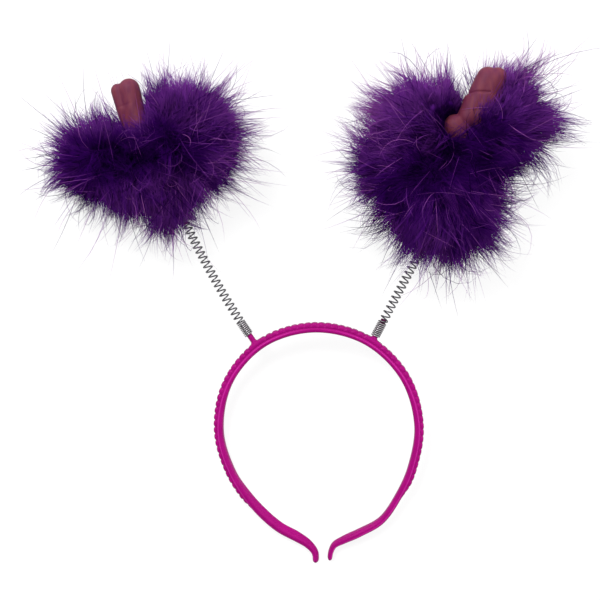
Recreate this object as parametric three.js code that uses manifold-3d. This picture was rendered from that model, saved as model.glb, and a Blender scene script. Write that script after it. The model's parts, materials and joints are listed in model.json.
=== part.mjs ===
// A head bopper: a ribbed plastic alice band with two pegs, a coil spring pushed over each peg,
// and at the far end of each spring a soft moulded topper that rises out of a feather pompom.
//
// Millimetres, +Z up. The object lies on its back on a table, as it is stored: both pompoms and
// the tips of the band touch the table. Its shape is worked out in the plane of the band first,
// where x runs to the right, y from the loop's centre to the crown and z out of the band's front,
// and the whole is then tipped on to its three supports.
import * as THREE from 'three';
import { mergeVertices } from 'three/addons/utils/BufferGeometryUtils.js';
import Module from 'manifold-3d';

const wasm = await Module();
wasm.setup();

// Band
const loopRadius = 61.7;
const bandThickness = 4.1;
const bandWidth = 7;
const bandChamfer = 0.9;
const tipWidth = 4.2;
const tipThickness = 2.8;
const tipTaper = 26;
const tipRounding = 2.6;
const armTwistAngleLeft = 27;
const armTwistAngleRight = -12;
const armTwistFromAngle = 108;
const armTwistToAngle = 155;
const bandStep = 8;
const tipBluntShare = 0.35;
const chamferMostShare = 0.7;
const hookStationShares = [0, 0.25, 0.6, 1];

// Ribs across the outside of the band
const ribPitch = 4;
const ribHeight = 1.95;
const ribLength = 4.5;
const ribFoot = 3.3;
const ribsEndAngleLeft = 136;
const ribsEndAngleRight = 129;
const ribSink = 0.4;
const ribsThatFade = 3;

// Pegs that carry the springs, measured from the middle of the band's thickness
const pegAngleLeft = 34.5;
const pegAngleRight = 33.5;
const pegLeanAngleLeft = 32;
const pegLeanAngleRight = 29;
const pegLength = 17.2;
const pegFootHeight = 2;
const pegFootFlare = 0.9;
const pegSides = 8;
const pegEndChamferShare = 1 / 3;
const pegMiddleFlareShare = 1 / 3;

// Springs
const wireDiameter = 0.9;
const coilDiameter = 5.9;
const closedCoilGap = 0.25;
const closedTurns = 8;
const openPitch = 3.3;
const stepsPerTurn = 7;
const wireSides = 5;
const topClosedTurns = 3;
const springSeatLeft = 9.9;
const springSeatRight = 5.9;
const springReachLeft = 82;
const springReachRight = 66.5;
const springChordAngleLeft = 27;
const springChordAngleRight = 29.5;
const springEndAngleLeft = 23;
const springEndAngleRight = 30;
const springHandleShare = 1 / 3;
const springRoomSteps = 8;

// Toppers
const topperRadius = 6.5;
const topperNeckRadius = 5.2;
const topperStemGrip = 5;
const topperStemLengthLeft = 78;
const topperStemLengthRight = 92;
const topperHeadLength = 15;
const topperLeanAngleLeft = 24;
const topperLeanAngleRight = 20;
const topperNeckAngleLeft = 8;
const topperNeckAngleRight = 25;
const topperSides = 8;
const stemFirstHandleShare = 1 / 3;
const stemLastHandleShare = 1 / 4;

// Pompoms. The span is the width of the thick fluff, without the thin tips.
const pomSpanLeft = 113;
const pomSpanRight = 121;
const lockReach = 13;
const lockSpreadShare = 0.9;
const lockLeanShare = 0.5;
const lockDetail = 1;

// Where the object touches the table: depth of each support behind the plane of the band
const pomRestDepthLeft = 26;
const pomRestDepthRight = 36;

// Gap that every fitted piece keeps to the piece it sits on or in
const fitGap = 0.3;

const degrees = Math.PI / 180;

// Finishes
const magentaPlastic = new THREE.MeshStandardMaterial({ color: 0xb01480, roughness: 0.35, metalness: 0 });
const springSteel = new THREE.MeshStandardMaterial({ color: 0x6a6b70, roughness: 0.35, metalness: 0.9 });
const violetFluff = new THREE.MeshStandardMaterial({ color: 0x3a1250, roughness: 0.95, metalness: 0 });
const softPink = new THREE.MeshStandardMaterial({ color: 0x7b3d52, roughness: 0.55, metalness: 0 });

// Helpers

// Asks a curve to measure its length so finely that equal shares of it come out equally long.
function measureFinely(curve) {
  curve.arcLengthDivisions = 2000;
  return curve;
}

// A direction in the plane of the band, so many degrees to the right of straight up.
function heading(angle) {
  return new THREE.Vector3(Math.sin(angle * degrees), Math.cos(angle * degrees), 0);
}

// A ring of points round a centre, in the plane of two unit directions.
function ring(centre, across, along, radius, sides) {
  const points = [];
  for (let i = 0; i < sides; i += 1) {
    const turn = (2 * Math.PI * i) / sides;
    points.push(
      centre
        .clone()
        .addScaledVector(across, radius * Math.cos(turn))
        .addScaledVector(along, radius * Math.sin(turn)),
    );
  }
  return points;
}

// A closed skin over rings that have equally many points, with a fan of faces on each end.
function skin(rings) {
  const sides = rings[0].length;
  const points = rings.flat();
  const first = points.length;
  const last = first + 1;
  for (const end of [rings[0], rings.at(-1)]) {
    const centre = new THREE.Vector3();
    end.forEach((point) => centre.addScaledVector(point, 1 / sides));
    points.push(centre);
  }
  const faces = [];
  for (let i = 0; i < sides; i += 1) {
    const next = (i + 1) % sides;
    for (let row = 0; row < rings.length - 1; row += 1) {
      const low = row * sides;
      const high = low + sides;
      faces.push(low + i, low + next, high + next, low + i, high + next, high + i);
    }
    const top = (rings.length - 1) * sides;
    faces.push(first, next, i, last, top + i, top + next);
  }
  if (signedVolume(points, faces) < 0) {
    faces.reverse();
  }
  const geometry = new THREE.BufferGeometry();
  const numbers = points.flatMap((point) => point.toArray());
  geometry.setAttribute('position', new THREE.Float32BufferAttribute(numbers, 3));
  geometry.setIndex(faces);
  return geometry;
}

// Six times the volume inside some triangles, which is below zero where they face inwards.
function signedVolume(points, faces) {
  const normal = new THREE.Vector3();
  let volume = 0;
  for (let i = 0; i < faces.length; i += 3) {
    normal.crossVectors(points[faces[i + 1]], points[faces[i + 2]]);
    volume += normal.dot(points[faces[i]]);
  }
  return volume;
}

// A closed geometry as a solid that can be joined and cut.
function toSolid(geometry) {
  const bare = geometry.clone();
  bare.deleteAttribute('normal');
  bare.deleteAttribute('uv');
  const merged = mergeVertices(bare, 1e-4);
  const mesh = new wasm.Mesh({
    numProp: 3,
    vertProperties: new Float32Array(merged.attributes.position.array),
    triVerts: new Uint32Array(merged.index.array),
  });
  return new wasm.Manifold(mesh);
}

// A solid back as a geometry.
function toGeometry(solid) {
  const mesh = solid.getMesh();
  const geometry = new THREE.BufferGeometry();
  geometry.setAttribute('position', new THREE.BufferAttribute(mesh.vertProperties, 3));
  geometry.setIndex(new THREE.BufferAttribute(mesh.triVerts, 1));
  return geometry;
}

function joinAll(solids) {
  return solids.reduce((whole, solid) => whole.add(solid));
}

// The biggest of the bodies that a cut has left.
function largest(solid) {
  return solid.decompose().reduce((best, body) => (body.volume() > best.volume() ? body : best));
}

// A number from 0 to 1 that looks random and is the same on every run.
function scatter(index, salt) {
  const value = Math.sin(index * 12.9898 + salt * 78.233) * 43758.5453;
  return value - Math.floor(value);
}

// Band

// Course of the middle of the band. Each row gives, for one arm and the other, how many degrees
// from the crown and how far from the loop's centre, as a share of loopRadius. The arms are
// sprung a little differently, and end in small hooks that point down.
const armRows = [
  { left: [30, 1.007], right: [30, 0.997] },
  { left: [60, 0.997], right: [60, 0.988] },
  { left: [90, 0.986], right: [90, 0.986] },
  { left: [115, 0.983], right: [115, 1.004] },
  { left: [132, 1.002], right: [132, 1.052] },
  { left: [145, 1.043], right: [148, 1.13] },
  { left: [157, 1.098], right: [161, 1.147] },
  { left: [167.2, 1.143], right: [169.5, 1.174] },
  { left: [173.2, 1.203], right: [174.4, 1.212] },
  { left: [176.4, 1.285], right: [176.3, 1.272] },
  { left: [176.9, 1.392], right: [177.4, 1.369] },
];

function armPoint([angle, share], side) {
  return heading(side * angle).multiplyScalar(loopRadius * share);
}

const bandCourse = measureFinely(
  new THREE.CatmullRomCurve3(
    [
      ...armRows.map((row) => armPoint(row.left, -1)).reverse(),
      new THREE.Vector3(0, loopRadius, 0),
      ...armRows.map((row) => armPoint(row.right, 1)),
    ],
    false,
    'centripetal',
  ),
);
const bandLength = bandCourse.getLength();
const bandFront = new THREE.Vector3(0, 0, 1);

// Share of the band's length at which it passes a given number of degrees from the crown. The
// range that holds the answer is halved until it is far below anything that can be measured.
function courseShareAt(angle) {
  const halvings = 40;
  let low = 0;
  let high = 1;
  for (let i = 0; i < halvings; i += 1) {
    const middle = (low + high) / 2;
    const point = bandCourse.getPointAt(middle);
    if (Math.atan2(point.x, point.y) < angle * degrees) {
      low = middle;
    } else {
      high = middle;
    }
  }
  return (low + high) / 2;
}

const crownShare = courseShareAt(0);

// Place and directions of the band at a share of its length: out points away from the head.
function bandFrame(share) {
  const point = bandCourse.getPointAt(share);
  const along = bandCourse.getTangentAt(share);
  const out = new THREE.Vector3().crossVectors(bandFront, along).normalize();
  const angle = Math.abs(Math.atan2(point.x, point.y)) / degrees;
  const twistShare = THREE.MathUtils.smoothstep(angle, armTwistFromAngle, armTwistToAngle);
  const twist = (share < crownShare ? -armTwistAngleLeft : armTwistAngleRight) * twistShare * degrees;
  const turnedOut = out.clone().applyAxisAngle(along, twist);
  const front = bandFront.clone().applyAxisAngle(along, twist);
  return { point, along, out: turnedOut, front };
}

// The band's section, an oblong with its corners cut off, smaller and rounded at the tips.
function bandRing(share) {
  const { point, out, front } = bandFrame(share);
  const fromTip = Math.min(share, 1 - share) * bandLength;
  const taper = THREE.MathUtils.smoothstep(fromTip, 0, tipTaper);
  const rounding = Math.min(1, fromTip / tipRounding);
  const nose = Math.max(tipBluntShare, Math.sqrt(1 - (1 - rounding) ** 2));
  const halfWidth = (nose * THREE.MathUtils.lerp(tipWidth, bandWidth, taper)) / 2;
  const halfThickness = (nose * THREE.MathUtils.lerp(tipThickness, bandThickness, taper)) / 2;
  const cut = Math.min(bandChamfer, halfThickness * chamferMostShare);
  const corners = [
    [-halfThickness, halfWidth - cut],
    [-halfThickness, cut - halfWidth],
    [cut - halfThickness, -halfWidth],
    [halfThickness - cut, -halfWidth],
    [halfThickness, cut - halfWidth],
    [halfThickness, halfWidth - cut],
    [halfThickness - cut, halfWidth],
    [cut - halfThickness, halfWidth],
  ];
  return corners.map(([away, forward]) =>
    point.clone().addScaledVector(out, away).addScaledVector(front, forward),
  );
}

// Shares of the length at which the band has a section: even steps either side of the crown,
// which lies in the middle of a flat, and closer ones at the hooks.
function bandShares() {
  const shares = [];
  for (const side of [-1, 1]) {
    const armLength = (side < 0 ? crownShare : 1 - crownShare) * bandLength;
    const hook = hookStationShares.map((part) => part * tipRounding);
    const straight = armLength - 2 * tipRounding;
    const steps = Math.round((straight - bandStep / 2) / bandStep);
    const even = [];
    for (let i = 0; i <= steps; i += 1) {
      even.push(bandStep / 2 + ((straight - bandStep / 2) * i) / steps);
    }
    const distances = [...even, ...hook.map((fromTip) => armLength - fromTip)];
    shares.push(...distances.map((distance) => crownShare + (side * distance) / bandLength));
  }
  return shares.sort((a, b) => a - b).map((share) => THREE.MathUtils.clamp(share, 0, 1));
}

// One rounded rib that lies across the band's outer face.
function rib(share, height) {
  const { point, along, out, front } = bandFrame(share);
  const profile = [
    [-0.5, 0],
    [-0.23, 1],
    [0.23, 1],
    [0.5, 0],
  ];
  const base = bandThickness / 2 - ribSink;
  const ends = [-1, 1].map((end) =>
    profile.map(([sideways, up]) =>
      point
        .clone()
        .addScaledVector(along, sideways * ribFoot)
        .addScaledVector(out, base + up * (height + ribSink))
        .addScaledVector(front, (end * ribLength) / 2),
    ),
  );
  return toSolid(skin(ends));
}

// All the ribs, at an even pitch from the crown down both arms. The last ones are lower.
function ribs() {
  const first = courseShareAt(-ribsEndAngleLeft);
  const last = courseShareAt(ribsEndAngleRight);
  const pitch = ribPitch / bandLength;
  const solids = [];
  const low = Math.ceil((first - crownShare) / pitch);
  const high = Math.floor((last - crownShare) / pitch);
  for (let i = low; i <= high; i += 1) {
    const fromEnd = Math.min(i - low, high - i);
    const height = ribHeight * Math.min(1, (fromEnd + 1) / ribsThatFade);
    solids.push(rib(crownShare + i * pitch, height));
  }
  return solids;
}

// Pegs

// Radius of the coil at the middle of the wire, and of the room inside it between the flats of
// its faceted turns.
const coilRadius = (coilDiameter - wireDiameter) / 2;
const coilRoom = coilRadius * Math.cos(Math.PI / stepsPerTurn) - wireDiameter / 2;
const pegRadius = coilRoom - fitGap;

const sides = {
  left: {
    pegAngle: -pegAngleLeft,
    pegLean: -pegLeanAngleLeft,
    springSeat: springSeatLeft,
    springReach: springReachLeft,
    springChord: -springChordAngleLeft,
    springEndLean: -springEndAngleLeft,
  },
  right: {
    pegAngle: pegAngleRight,
    pegLean: pegLeanAngleRight,
    springSeat: springSeatRight,
    springReach: springReachRight,
    springChord: springChordAngleRight,
    springEndLean: springEndAngleRight,
  },
};

// Root of a peg, in the middle of the band's thickness.
function pegRoot(side) {
  return bandCourse.getPointAt(courseShareAt(side.pegAngle));
}

// A round peg with a flared foot on the ribs and a chamfered end.
function peg(side) {
  const root = pegRoot(side);
  const up = heading(side.pegLean);
  const across = new THREE.Vector3().crossVectors(bandFront, up);
  const footTop = bandThickness / 2 + ribHeight + pegFootHeight;
  const chamfer = pegRadius * pegEndChamferShare;
  const stations = [
    [0, pegRadius + pegFootFlare],
    [footTop - pegFootHeight, pegRadius + pegFootFlare],
    [footTop - pegFootHeight / 2, pegRadius + pegFootFlare * pegMiddleFlareShare],
    [footTop, pegRadius],
    [pegLength - chamfer, pegRadius],
    [pegLength, pegRadius - chamfer],
  ];
  const rings = stations.map(([height, radius]) =>
    ring(root.clone().addScaledVector(up, height), bandFront, across, radius, pegSides),
  );
  return toSolid(skin(rings));
}

function band() {
  const body = toSolid(skin(bandShares().map(bandRing)));
  return toGeometry(joinAll([body, ...ribs(), peg(sides.left), peg(sides.right)]));
}

// Springs

// Middle line of a spring, from its seat on the peg to its end inside the pompom.
function springCourse(side) {
  const start = pegRoot(side).addScaledVector(heading(side.pegLean), side.springSeat);
  const end = start.clone().addScaledVector(heading(side.springChord), side.springReach);
  const handle = side.springReach * springHandleShare;
  return measureFinely(
    new THREE.CubicBezierCurve3(
      start,
      start.clone().addScaledVector(heading(side.pegLean), handle),
      end.clone().addScaledVector(heading(side.springEndLean), -handle),
      end,
    ),
  );
}

// A helix of wire round the middle line. Its turns lie side by side over the peg and over the
// topper's stem, and stand openPitch apart between them.
function spring(side) {
  const course = springCourse(side);
  const length = course.getLength();
  const closedPitch = wireDiameter + closedCoilGap;
  const openLength = length - (closedTurns + topClosedTurns) * closedPitch;
  const openTurns = Math.round(openLength / openPitch);
  const turns = closedTurns + openTurns + topClosedTurns;
  const rings = [];
  for (let step = 0; step <= turns * stepsPerTurn; step += 1) {
    const turn = step / stepsPerTurn;
    const distance =
      Math.min(turn, closedTurns) * closedPitch +
      (THREE.MathUtils.clamp(turn - closedTurns, 0, openTurns) * openLength) / openTurns +
      Math.max(0, turn - closedTurns - openTurns) * closedPitch;
    const share = THREE.MathUtils.clamp(distance / length, 0, 1);
    const up = course.getTangentAt(share);
    const across = new THREE.Vector3().crossVectors(bandFront, up);
    const angle = 2 * Math.PI * turn;
    const outward = across.multiplyScalar(Math.cos(angle)).addScaledVector(bandFront, Math.sin(angle));
    const centre = course.getPointAt(share).addScaledVector(outward, coilRadius);
    rings.push(ring(centre, outward, up, wireDiameter / 2, wireSides));
  }
  return skin(rings);
}

// Toppers

// Each topper is a few round-ended lobes on a stem. A row gives the lobe's foot and its top
// centre, from the top of the stem in shares of topperHeadLength, and its radius as a share of
// topperRadius.
const topperLobes = {
  left: [
    { foot: [0.34, -0.6], top: [0.1, 0.72], radius: 1 },
    { foot: [-0.02, -0.7], top: [-0.36, 0.68], radius: 0.66 },
  ],
  right: [
    { foot: [-0.1, -0.65], top: [0.64, 0.78], radius: 1 },
    { foot: [0.2, -0.5], top: [0.95, 0.8], radius: 0.82 },
    { foot: [-0.3, -1.5], top: [-0.76, -0.92], radius: 0.8 },
  ],
};

const topperStems = {
  left: {
    from: sides.left,
    length: topperStemLengthLeft,
    lean: -topperLeanAngleLeft,
    neckLean: -topperNeckAngleLeft,
  },
  right: {
    from: sides.right,
    length: topperStemLengthRight,
    lean: topperLeanAngleRight,
    neckLean: topperNeckAngleRight,
  },
};

// Middle line of a topper's stem, from inside the spring to the foot of its head.
function stemCourse({ from, length, lean, neckLean }) {
  const spring = springCourse(from);
  const start = spring.getPointAt(1).addScaledVector(heading(from.springEndLean), -topperStemGrip);
  const end = start.clone().addScaledVector(heading(lean), length);
  return new THREE.CubicBezierCurve3(
    start,
    start.clone().addScaledVector(heading(from.springEndLean), length * stemFirstHandleShare),
    end.clone().addScaledVector(heading(neckLean), -length * stemLastHandleShare),
    end,
  );
}

// A stem that fits in the spring's end and swells towards the head. Grow adds to every radius.
function stem(course, grow) {
  const grip = topperStemGrip / course.getLength();
  const stations = [
    [0, pegRadius],
    [grip, pegRadius],
    [0.5, (pegRadius + topperNeckRadius) / 2],
    [1, topperNeckRadius],
  ];
  const rings = stations.map(([share, radius]) => {
    const along = course.getTangentAt(share);
    const across = new THREE.Vector3().crossVectors(bandFront, along);
    return ring(course.getPointAt(share), bandFront, across, radius + grow, pegSides);
  });
  return toSolid(skin(rings));
}

// A round-ended lobe between two centres: rings by latitude, the lower ones round its foot and
// the upper ones round its top.
function lobe(foot, top, radius) {
  const along = top.clone().sub(foot).normalize();
  const across = new THREE.Vector3().crossVectors(bandFront, along);
  const rows = [
    { centre: foot, latitude: -60 },
    { centre: foot, latitude: 0 },
    { centre: top, latitude: 0 },
    { centre: top, latitude: 35 },
    { centre: top, latitude: 70 },
  ];
  const rings = rows.map(({ centre, latitude }) => {
    const height = radius * Math.sin(latitude * degrees);
    const girth = radius * Math.cos(latitude * degrees);
    return ring(centre.clone().addScaledVector(along, height), bandFront, across, girth, topperSides);
  });
  return toSolid(skin(rings));
}

function topper(name, grow) {
  const course = stemCourse(topperStems[name]);
  const end = course.getPointAt(1);
  const place = ([x, y]) => new THREE.Vector3(x, y, 0).multiplyScalar(topperHeadLength).add(end);
  const lobes = topperLobes[name].map((row) =>
    lobe(place(row.foot), place(row.top), row.radius * topperRadius + grow),
  );
  return joinAll([stem(course, grow), ...lobes]);
}

// Pompoms

// The fluff bunches up in a few lobes. Each row gives a lobe's centre from the end of the
// spring and its radii, sideways, upwards and front to back, as shares of the pompom's span.
const pomLobes = {
  left: [
    { centre: [-0.15, 0.22, 0], radii: [0.32, 0.22, 0.25] },
    { centre: [0.09, 0.44, 0.02], radii: [0.26, 0.27, 0.25] },
    { centre: [-0.46, 0.31, 0], radii: [0.25, 0.2, 0.22] },
  ],
  right: [
    { centre: [0.01, 0.34, 0], radii: [0.38, 0.25, 0.27] },
    { centre: [-0.02, 0.61, 0], radii: [0.23, 0.2, 0.23] },
    { centre: [0.43, 0.57, 0.02], radii: [0.22, 0.18, 0.19] },
    { centre: [0.1, 0.12, -0.02], radii: [0.32, 0.29, 0.27] },
  ],
};

const pomSpans = { left: pomSpanLeft, right: pomSpanRight };

// The way up from the table, as seen from the band. The table touches the band at its lowest
// point, which depends on the slope, so the slope is found in a few rounds.
function slopeOfTable(bandPoints) {
  const [right, left] = [pomMiddle('right', -pomRestDepthRight), pomMiddle('left', -pomRestDepthLeft)];
  const up = bandFront.clone();
  const lowest = new THREE.Vector3();
  const rounds = 6;
  for (let round = 0; round < rounds; round += 1) {
    lowest.copy(bandPoints.reduce((low, point) => (point.dot(up) < low.dot(up) ? point : low)));
    up.crossVectors(right.clone().sub(lowest), left.clone().sub(lowest)).normalize();
  }
  return { up, level: lowest.dot(up) };
}

// Middle of a pompom's main lobe, so far in front of the plane of the band.
function pomMiddle(name, forward) {
  const [x, y] = pomLobes[name][0].centre;
  const springEnd = springCourse(sides[name]).getPointAt(1);
  return springEnd.add(new THREE.Vector3(x * pomSpans[name], y * pomSpans[name], forward));
}

// Points of a ball that is divided so finely, as text that two balls can be compared by.
function ballPoints(detail) {
  const ball = new THREE.IcosahedronGeometry(1, detail).attributes.position;
  const names = new Set();
  for (let i = 0; i < ball.count; i += 1) {
    names.add(pointName(new THREE.Vector3().fromBufferAttribute(ball, i)));
  }
  return [...names];
}

function pointName(point) {
  return point
    .toArray()
    .map((value) => (Math.round(value * 1000) / 1000 + 0).toFixed(3))
    .join(' ');
}

// A lobe of fluff: a ball stretched along three axes, on which every second point is drawn out
// into a pointed lock.
function fluffLobe({ centre, radii }, number) {
  const ball = new THREE.IcosahedronGeometry(1, 2 * lockDetail + 1);
  const points = ball.attributes.position;
  const tips = ballPoints(lockDetail);
  for (let i = 0; i < points.count; i += 1) {
    const direction = new THREE.Vector3().fromBufferAttribute(points, i);
    const lock = tips.indexOf(pointName(direction));
    const place = direction.clone().multiply(radii).add(centre);
    if (lock >= 0) {
      const lean = new THREE.Vector3(scatter(lock, 7), scatter(lock, 8), scatter(lock, 9)).subScalar(0.5);
      const outward = direction.clone().divide(radii).normalize();
      outward.addScaledVector(lean, lockLeanShare).normalize();
      place.addScaledVector(outward, lockReach * (1 + lockSpreadShare * (scatter(lock, number + 1) - 0.5)));
    }
    points.setXYZ(i, place.x, place.y, place.z);
  }
  return toSolid(ball);
}

// A pompom is its lobes joined, with room for the topper and the spring, and flattened where
// it lies on the table.
function pom(name, table) {
  const span = pomSpans[name];
  const springEnd = springCourse(sides[name]).getPointAt(1);
  const lobes = pomLobes[name].map((row, number) => {
    const centre = new THREE.Vector3(...row.centre).multiplyScalar(span).add(springEnd);
    const radii = new THREE.Vector3(...row.radii).multiplyScalar(span);
    return fluffLobe({ centre, radii }, number);
  });
  const rooms = [topper(name, fitGap), springRoom(name), underTable(table)];
  return toGeometry(largest(rooms.reduce((fluff, room) => fluff.subtract(room), joinAll(lobes))));
}

// The room that a spring takes up, with the gap round it.
function springRoom(name) {
  const course = springCourse(sides[name]);
  const radius = coilDiameter / 2 / Math.cos(Math.PI / pegSides) + fitGap;
  const rings = [];
  for (let i = 0; i <= springRoomSteps; i += 1) {
    const share = i / springRoomSteps;
    const across = new THREE.Vector3().crossVectors(bandFront, course.getTangentAt(share));
    rings.push(ring(course.getPointAt(share), bandFront, across, radius, pegSides));
  }
  const last = heading(sides[name].springEndLean);
  const across = new THREE.Vector3().crossVectors(bandFront, last);
  const beyond = course.getPointAt(1).addScaledVector(last, wireDiameter + fitGap);
  rings.push(ring(beyond, bandFront, across, radius, pegSides));
  return toSolid(skin(rings));
}

// Everything below the table, as one large block.
function underTable({ up, level }) {
  const size = 4 * (pomSpanLeft + pomSpanRight);
  const block = new THREE.BoxGeometry(size, size, size);
  block.applyQuaternion(new THREE.Quaternion().setFromUnitVectors(bandFront, up));
  const middle = up.clone().multiplyScalar(level - size / 2);
  block.translate(middle.x, middle.y, middle.z);
  return toSolid(block);
}

// Assembly

function piece(name, geometry, material) {
  const mesh = new THREE.Mesh(geometry, material);
  mesh.name = name;
  return mesh;
}

const bandShape = band();
const bandPoints = [];
for (let i = 0; i < bandShape.attributes.position.count; i += 1) {
  bandPoints.push(new THREE.Vector3().fromBufferAttribute(bandShape.attributes.position, i));
}
const table = slopeOfTable(bandPoints);

const flat = new THREE.Group();
flat.add(
  piece('band', bandShape, magentaPlastic),
  piece('spring_left', spring(sides.left), springSteel),
  piece('spring_right', spring(sides.right), springSteel),
  piece('pom_left', pom('left', table), violetFluff),
  piece('pom_right', pom('right', table), violetFluff),
  piece('topper_left', toGeometry(topper('left', 0)), softPink),
  piece('topper_right', toGeometry(topper('right', 0)), softPink),
);

// The table becomes level, and the crown points along +Y.
const tableY = new THREE.Vector3(0, 1, 0).projectOnPlane(table.up).normalize();
const tableX = new THREE.Vector3().crossVectors(tableY, table.up);
const tipped = new THREE.Matrix4().makeBasis(tableX, tableY, table.up).transpose();
flat.quaternion.setFromRotationMatrix(tipped);

const bopper = new THREE.Group();
bopper.add(flat);

// The origin is the middle of the object's footprint, on the table.
const box = new THREE.Box3().setFromObject(bopper, true);
const middle = box.getCenter(new THREE.Vector3());
flat.position.set(-middle.x, -middle.y, -box.min.z);
bopper.updateMatrixWorld(true);

export default bopper;
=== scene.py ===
# %% [markdown]
# # A head bopper: two feather pompoms on springs
#
# The real thing is four small crafts in one: an injection-moulded alice band, two coil
# springs pushed over pegs on the band, two pompoms of dyed down feather, and a soft moulded
# topper that looks out of each pompom. The CAD frame holds every piece at its real size and
# place. This lesson gives each piece the surface that the eye expects, round the same lines.
#
# Every shape is worked out in the band's own plane first, in millimetres: x runs to the
# right, y from the middle of the loop to the crown, and z out of the front of the band.

# %% Load the frame
import json
import math

import bpy
import numpy as np
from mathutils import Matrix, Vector


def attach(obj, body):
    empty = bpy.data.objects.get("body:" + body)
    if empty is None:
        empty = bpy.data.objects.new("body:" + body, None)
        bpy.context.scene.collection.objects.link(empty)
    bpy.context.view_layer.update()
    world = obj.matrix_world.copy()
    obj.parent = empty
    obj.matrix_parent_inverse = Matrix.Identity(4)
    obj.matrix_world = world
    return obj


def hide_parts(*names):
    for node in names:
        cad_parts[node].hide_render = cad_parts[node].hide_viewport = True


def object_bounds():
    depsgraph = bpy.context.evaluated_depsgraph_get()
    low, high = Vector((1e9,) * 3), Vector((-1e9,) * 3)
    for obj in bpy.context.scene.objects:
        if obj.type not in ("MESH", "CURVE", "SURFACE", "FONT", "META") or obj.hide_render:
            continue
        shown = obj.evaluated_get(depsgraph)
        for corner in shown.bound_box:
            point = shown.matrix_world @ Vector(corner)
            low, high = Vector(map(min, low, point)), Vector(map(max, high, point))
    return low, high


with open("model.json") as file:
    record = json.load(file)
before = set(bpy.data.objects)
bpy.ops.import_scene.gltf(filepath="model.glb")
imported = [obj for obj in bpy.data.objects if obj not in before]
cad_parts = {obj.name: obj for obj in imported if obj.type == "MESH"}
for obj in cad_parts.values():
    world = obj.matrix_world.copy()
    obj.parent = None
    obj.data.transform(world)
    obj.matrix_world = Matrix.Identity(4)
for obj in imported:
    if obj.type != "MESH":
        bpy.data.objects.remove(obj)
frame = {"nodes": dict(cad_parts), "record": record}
cad_low, cad_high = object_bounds()
print("CAD nodes:", ", ".join(sorted(frame["nodes"])))
print("CAD box in mm:", [round(1000 * (high - low), 1) for low, high in zip(cad_low, cad_high)])

# %% [markdown]
# ## Where the band's plane lies
#
# The headpiece lies on its back, so the plane of the band is tipped a few degrees off the
# table. The numbers could be copied from the CAD, but they are better measured: the upper
# half of the band is the same on both sides of its plane, so the direction in which its points
# spread least is the plane's normal. The mount on the inside of the crown then gives the
# middle of the loop.

# %% The plane of the band, measured on the frame
mm = 0.001
loop_radius = 61.7
band_thickness = 4.1
crown_flat = 8.0


def mesh_points(obj):
    """The vertices of a mesh as an array with a row of x, y and z for each, in metres."""
    numbers = np.empty(3 * len(obj.data.vertices))
    obj.data.vertices.foreach_get("co", numbers)
    return numbers.reshape(-1, 3)


def unit(vectors):
    """Each vector divided by its length, the square root of the sum of its squares."""
    return vectors / np.linalg.norm(vectors, axis=-1, keepdims=True)


band_points = np.unique(mesh_points(frame["nodes"]["band"]).round(7), axis=0)
upper_half = band_points[band_points[:, 1] > band_points[:, 1].mean()]
spread = np.linalg.svd(upper_half - upper_half.mean(0), full_matrices=False)[2]
front = spread[2] * np.sign(spread[2][2])
crownward = unit(np.array([0, front[2], -front[1]]))
rightward = np.cross(crownward, front)
plane_axes = np.stack([rightward, crownward, front])

seat = next(m for m in frame["record"]["mounts"] if m["name"] == "crown_seat")
inner_radius = loop_radius - band_thickness / 2
seat_radius = math.sqrt(inner_radius**2 - (crown_flat / 2) ** 2)
loop_middle = np.array(seat["pos_m"]) - crownward * seat_radius * mm


def on_table(points):
    """Points of the band's plane, in mm, as points over the table in metres: the middle of
    the loop plus x times the plane's first direction, y times its second and z times its third."""
    return loop_middle + points @ plane_axes * mm


def off_table(points):
    """The way back: points over the table in metres as points of the band's plane, in mm."""
    return (points - loop_middle) @ plane_axes.T / mm


print("Front of the band points to", front.round(4))
print("Middle of the loop in mm:", (loop_middle / mm).round(2))

# %% [markdown]
# ## The camera
#
# The headpiece was photographed from straight above. A camera could be tracked to the object,
# but a fixed one is easier to reason about: it hangs over one point of the table, looks
# straight down, and is turned by the small angle between the crown and the top of the picture.

# %% Camera straight above the table
camera_height = 740 * mm
camera_from_loop = np.array([-8.29, 79.16]) * mm
camera_turn = math.radians(-2.2)
sensor_width = 36
field_width = 375.6 * mm

camera_data = bpy.data.cameras.new("overhead_camera")
camera_data.sensor_width = sensor_width
camera_data.lens = sensor_width * camera_height / field_width
camera = bpy.data.objects.new("overhead_camera", camera_data)
camera.location = (*(loop_middle[:2] + camera_from_loop), camera_height)
camera.rotation_euler = (0, 0, camera_turn)
bpy.context.scene.collection.objects.link(camera)
bpy.context.scene.camera = camera
print("Lens in mm:", round(camera_data.lens, 2))

# %% [markdown]
# ## Nodes in one line each
#
# Materials and the sky are small graphs of nodes. Written out, each node takes a line to make
# it and one for each value and link. This helper makes a node, sets its options, and fills
# its inputs: with a link where it is given another node's output, and else with a value.

# %% A node with its options and inputs


def add_node(tree, kind, inputs=None, **options):
    """A new node of a kind in a tree. Inputs are by name or number."""
    new = tree.nodes.new("ShaderNode" + kind)
    for option, value in options.items():
        setattr(new, option, value)
    for name, value in (inputs or {}).items():
        if isinstance(value, bpy.types.NodeSocket):
            tree.links.new(value, new.inputs[name])
        else:
            new.inputs[name].default_value = value
    return new


def new_finish(name, **values):
    """A material with its tree and its Principled shader, whose inputs take the values given,
    with underscores for spaces in their names."""
    finish = bpy.data.materials.new(name)
    finish.use_nodes = True
    shader = finish.node_tree.nodes["Principled BSDF"]
    for socket, value in values.items():
        shader.inputs[socket.replace("_", " ")].default_value = value
    return finish, finish.node_tree, shader


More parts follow.
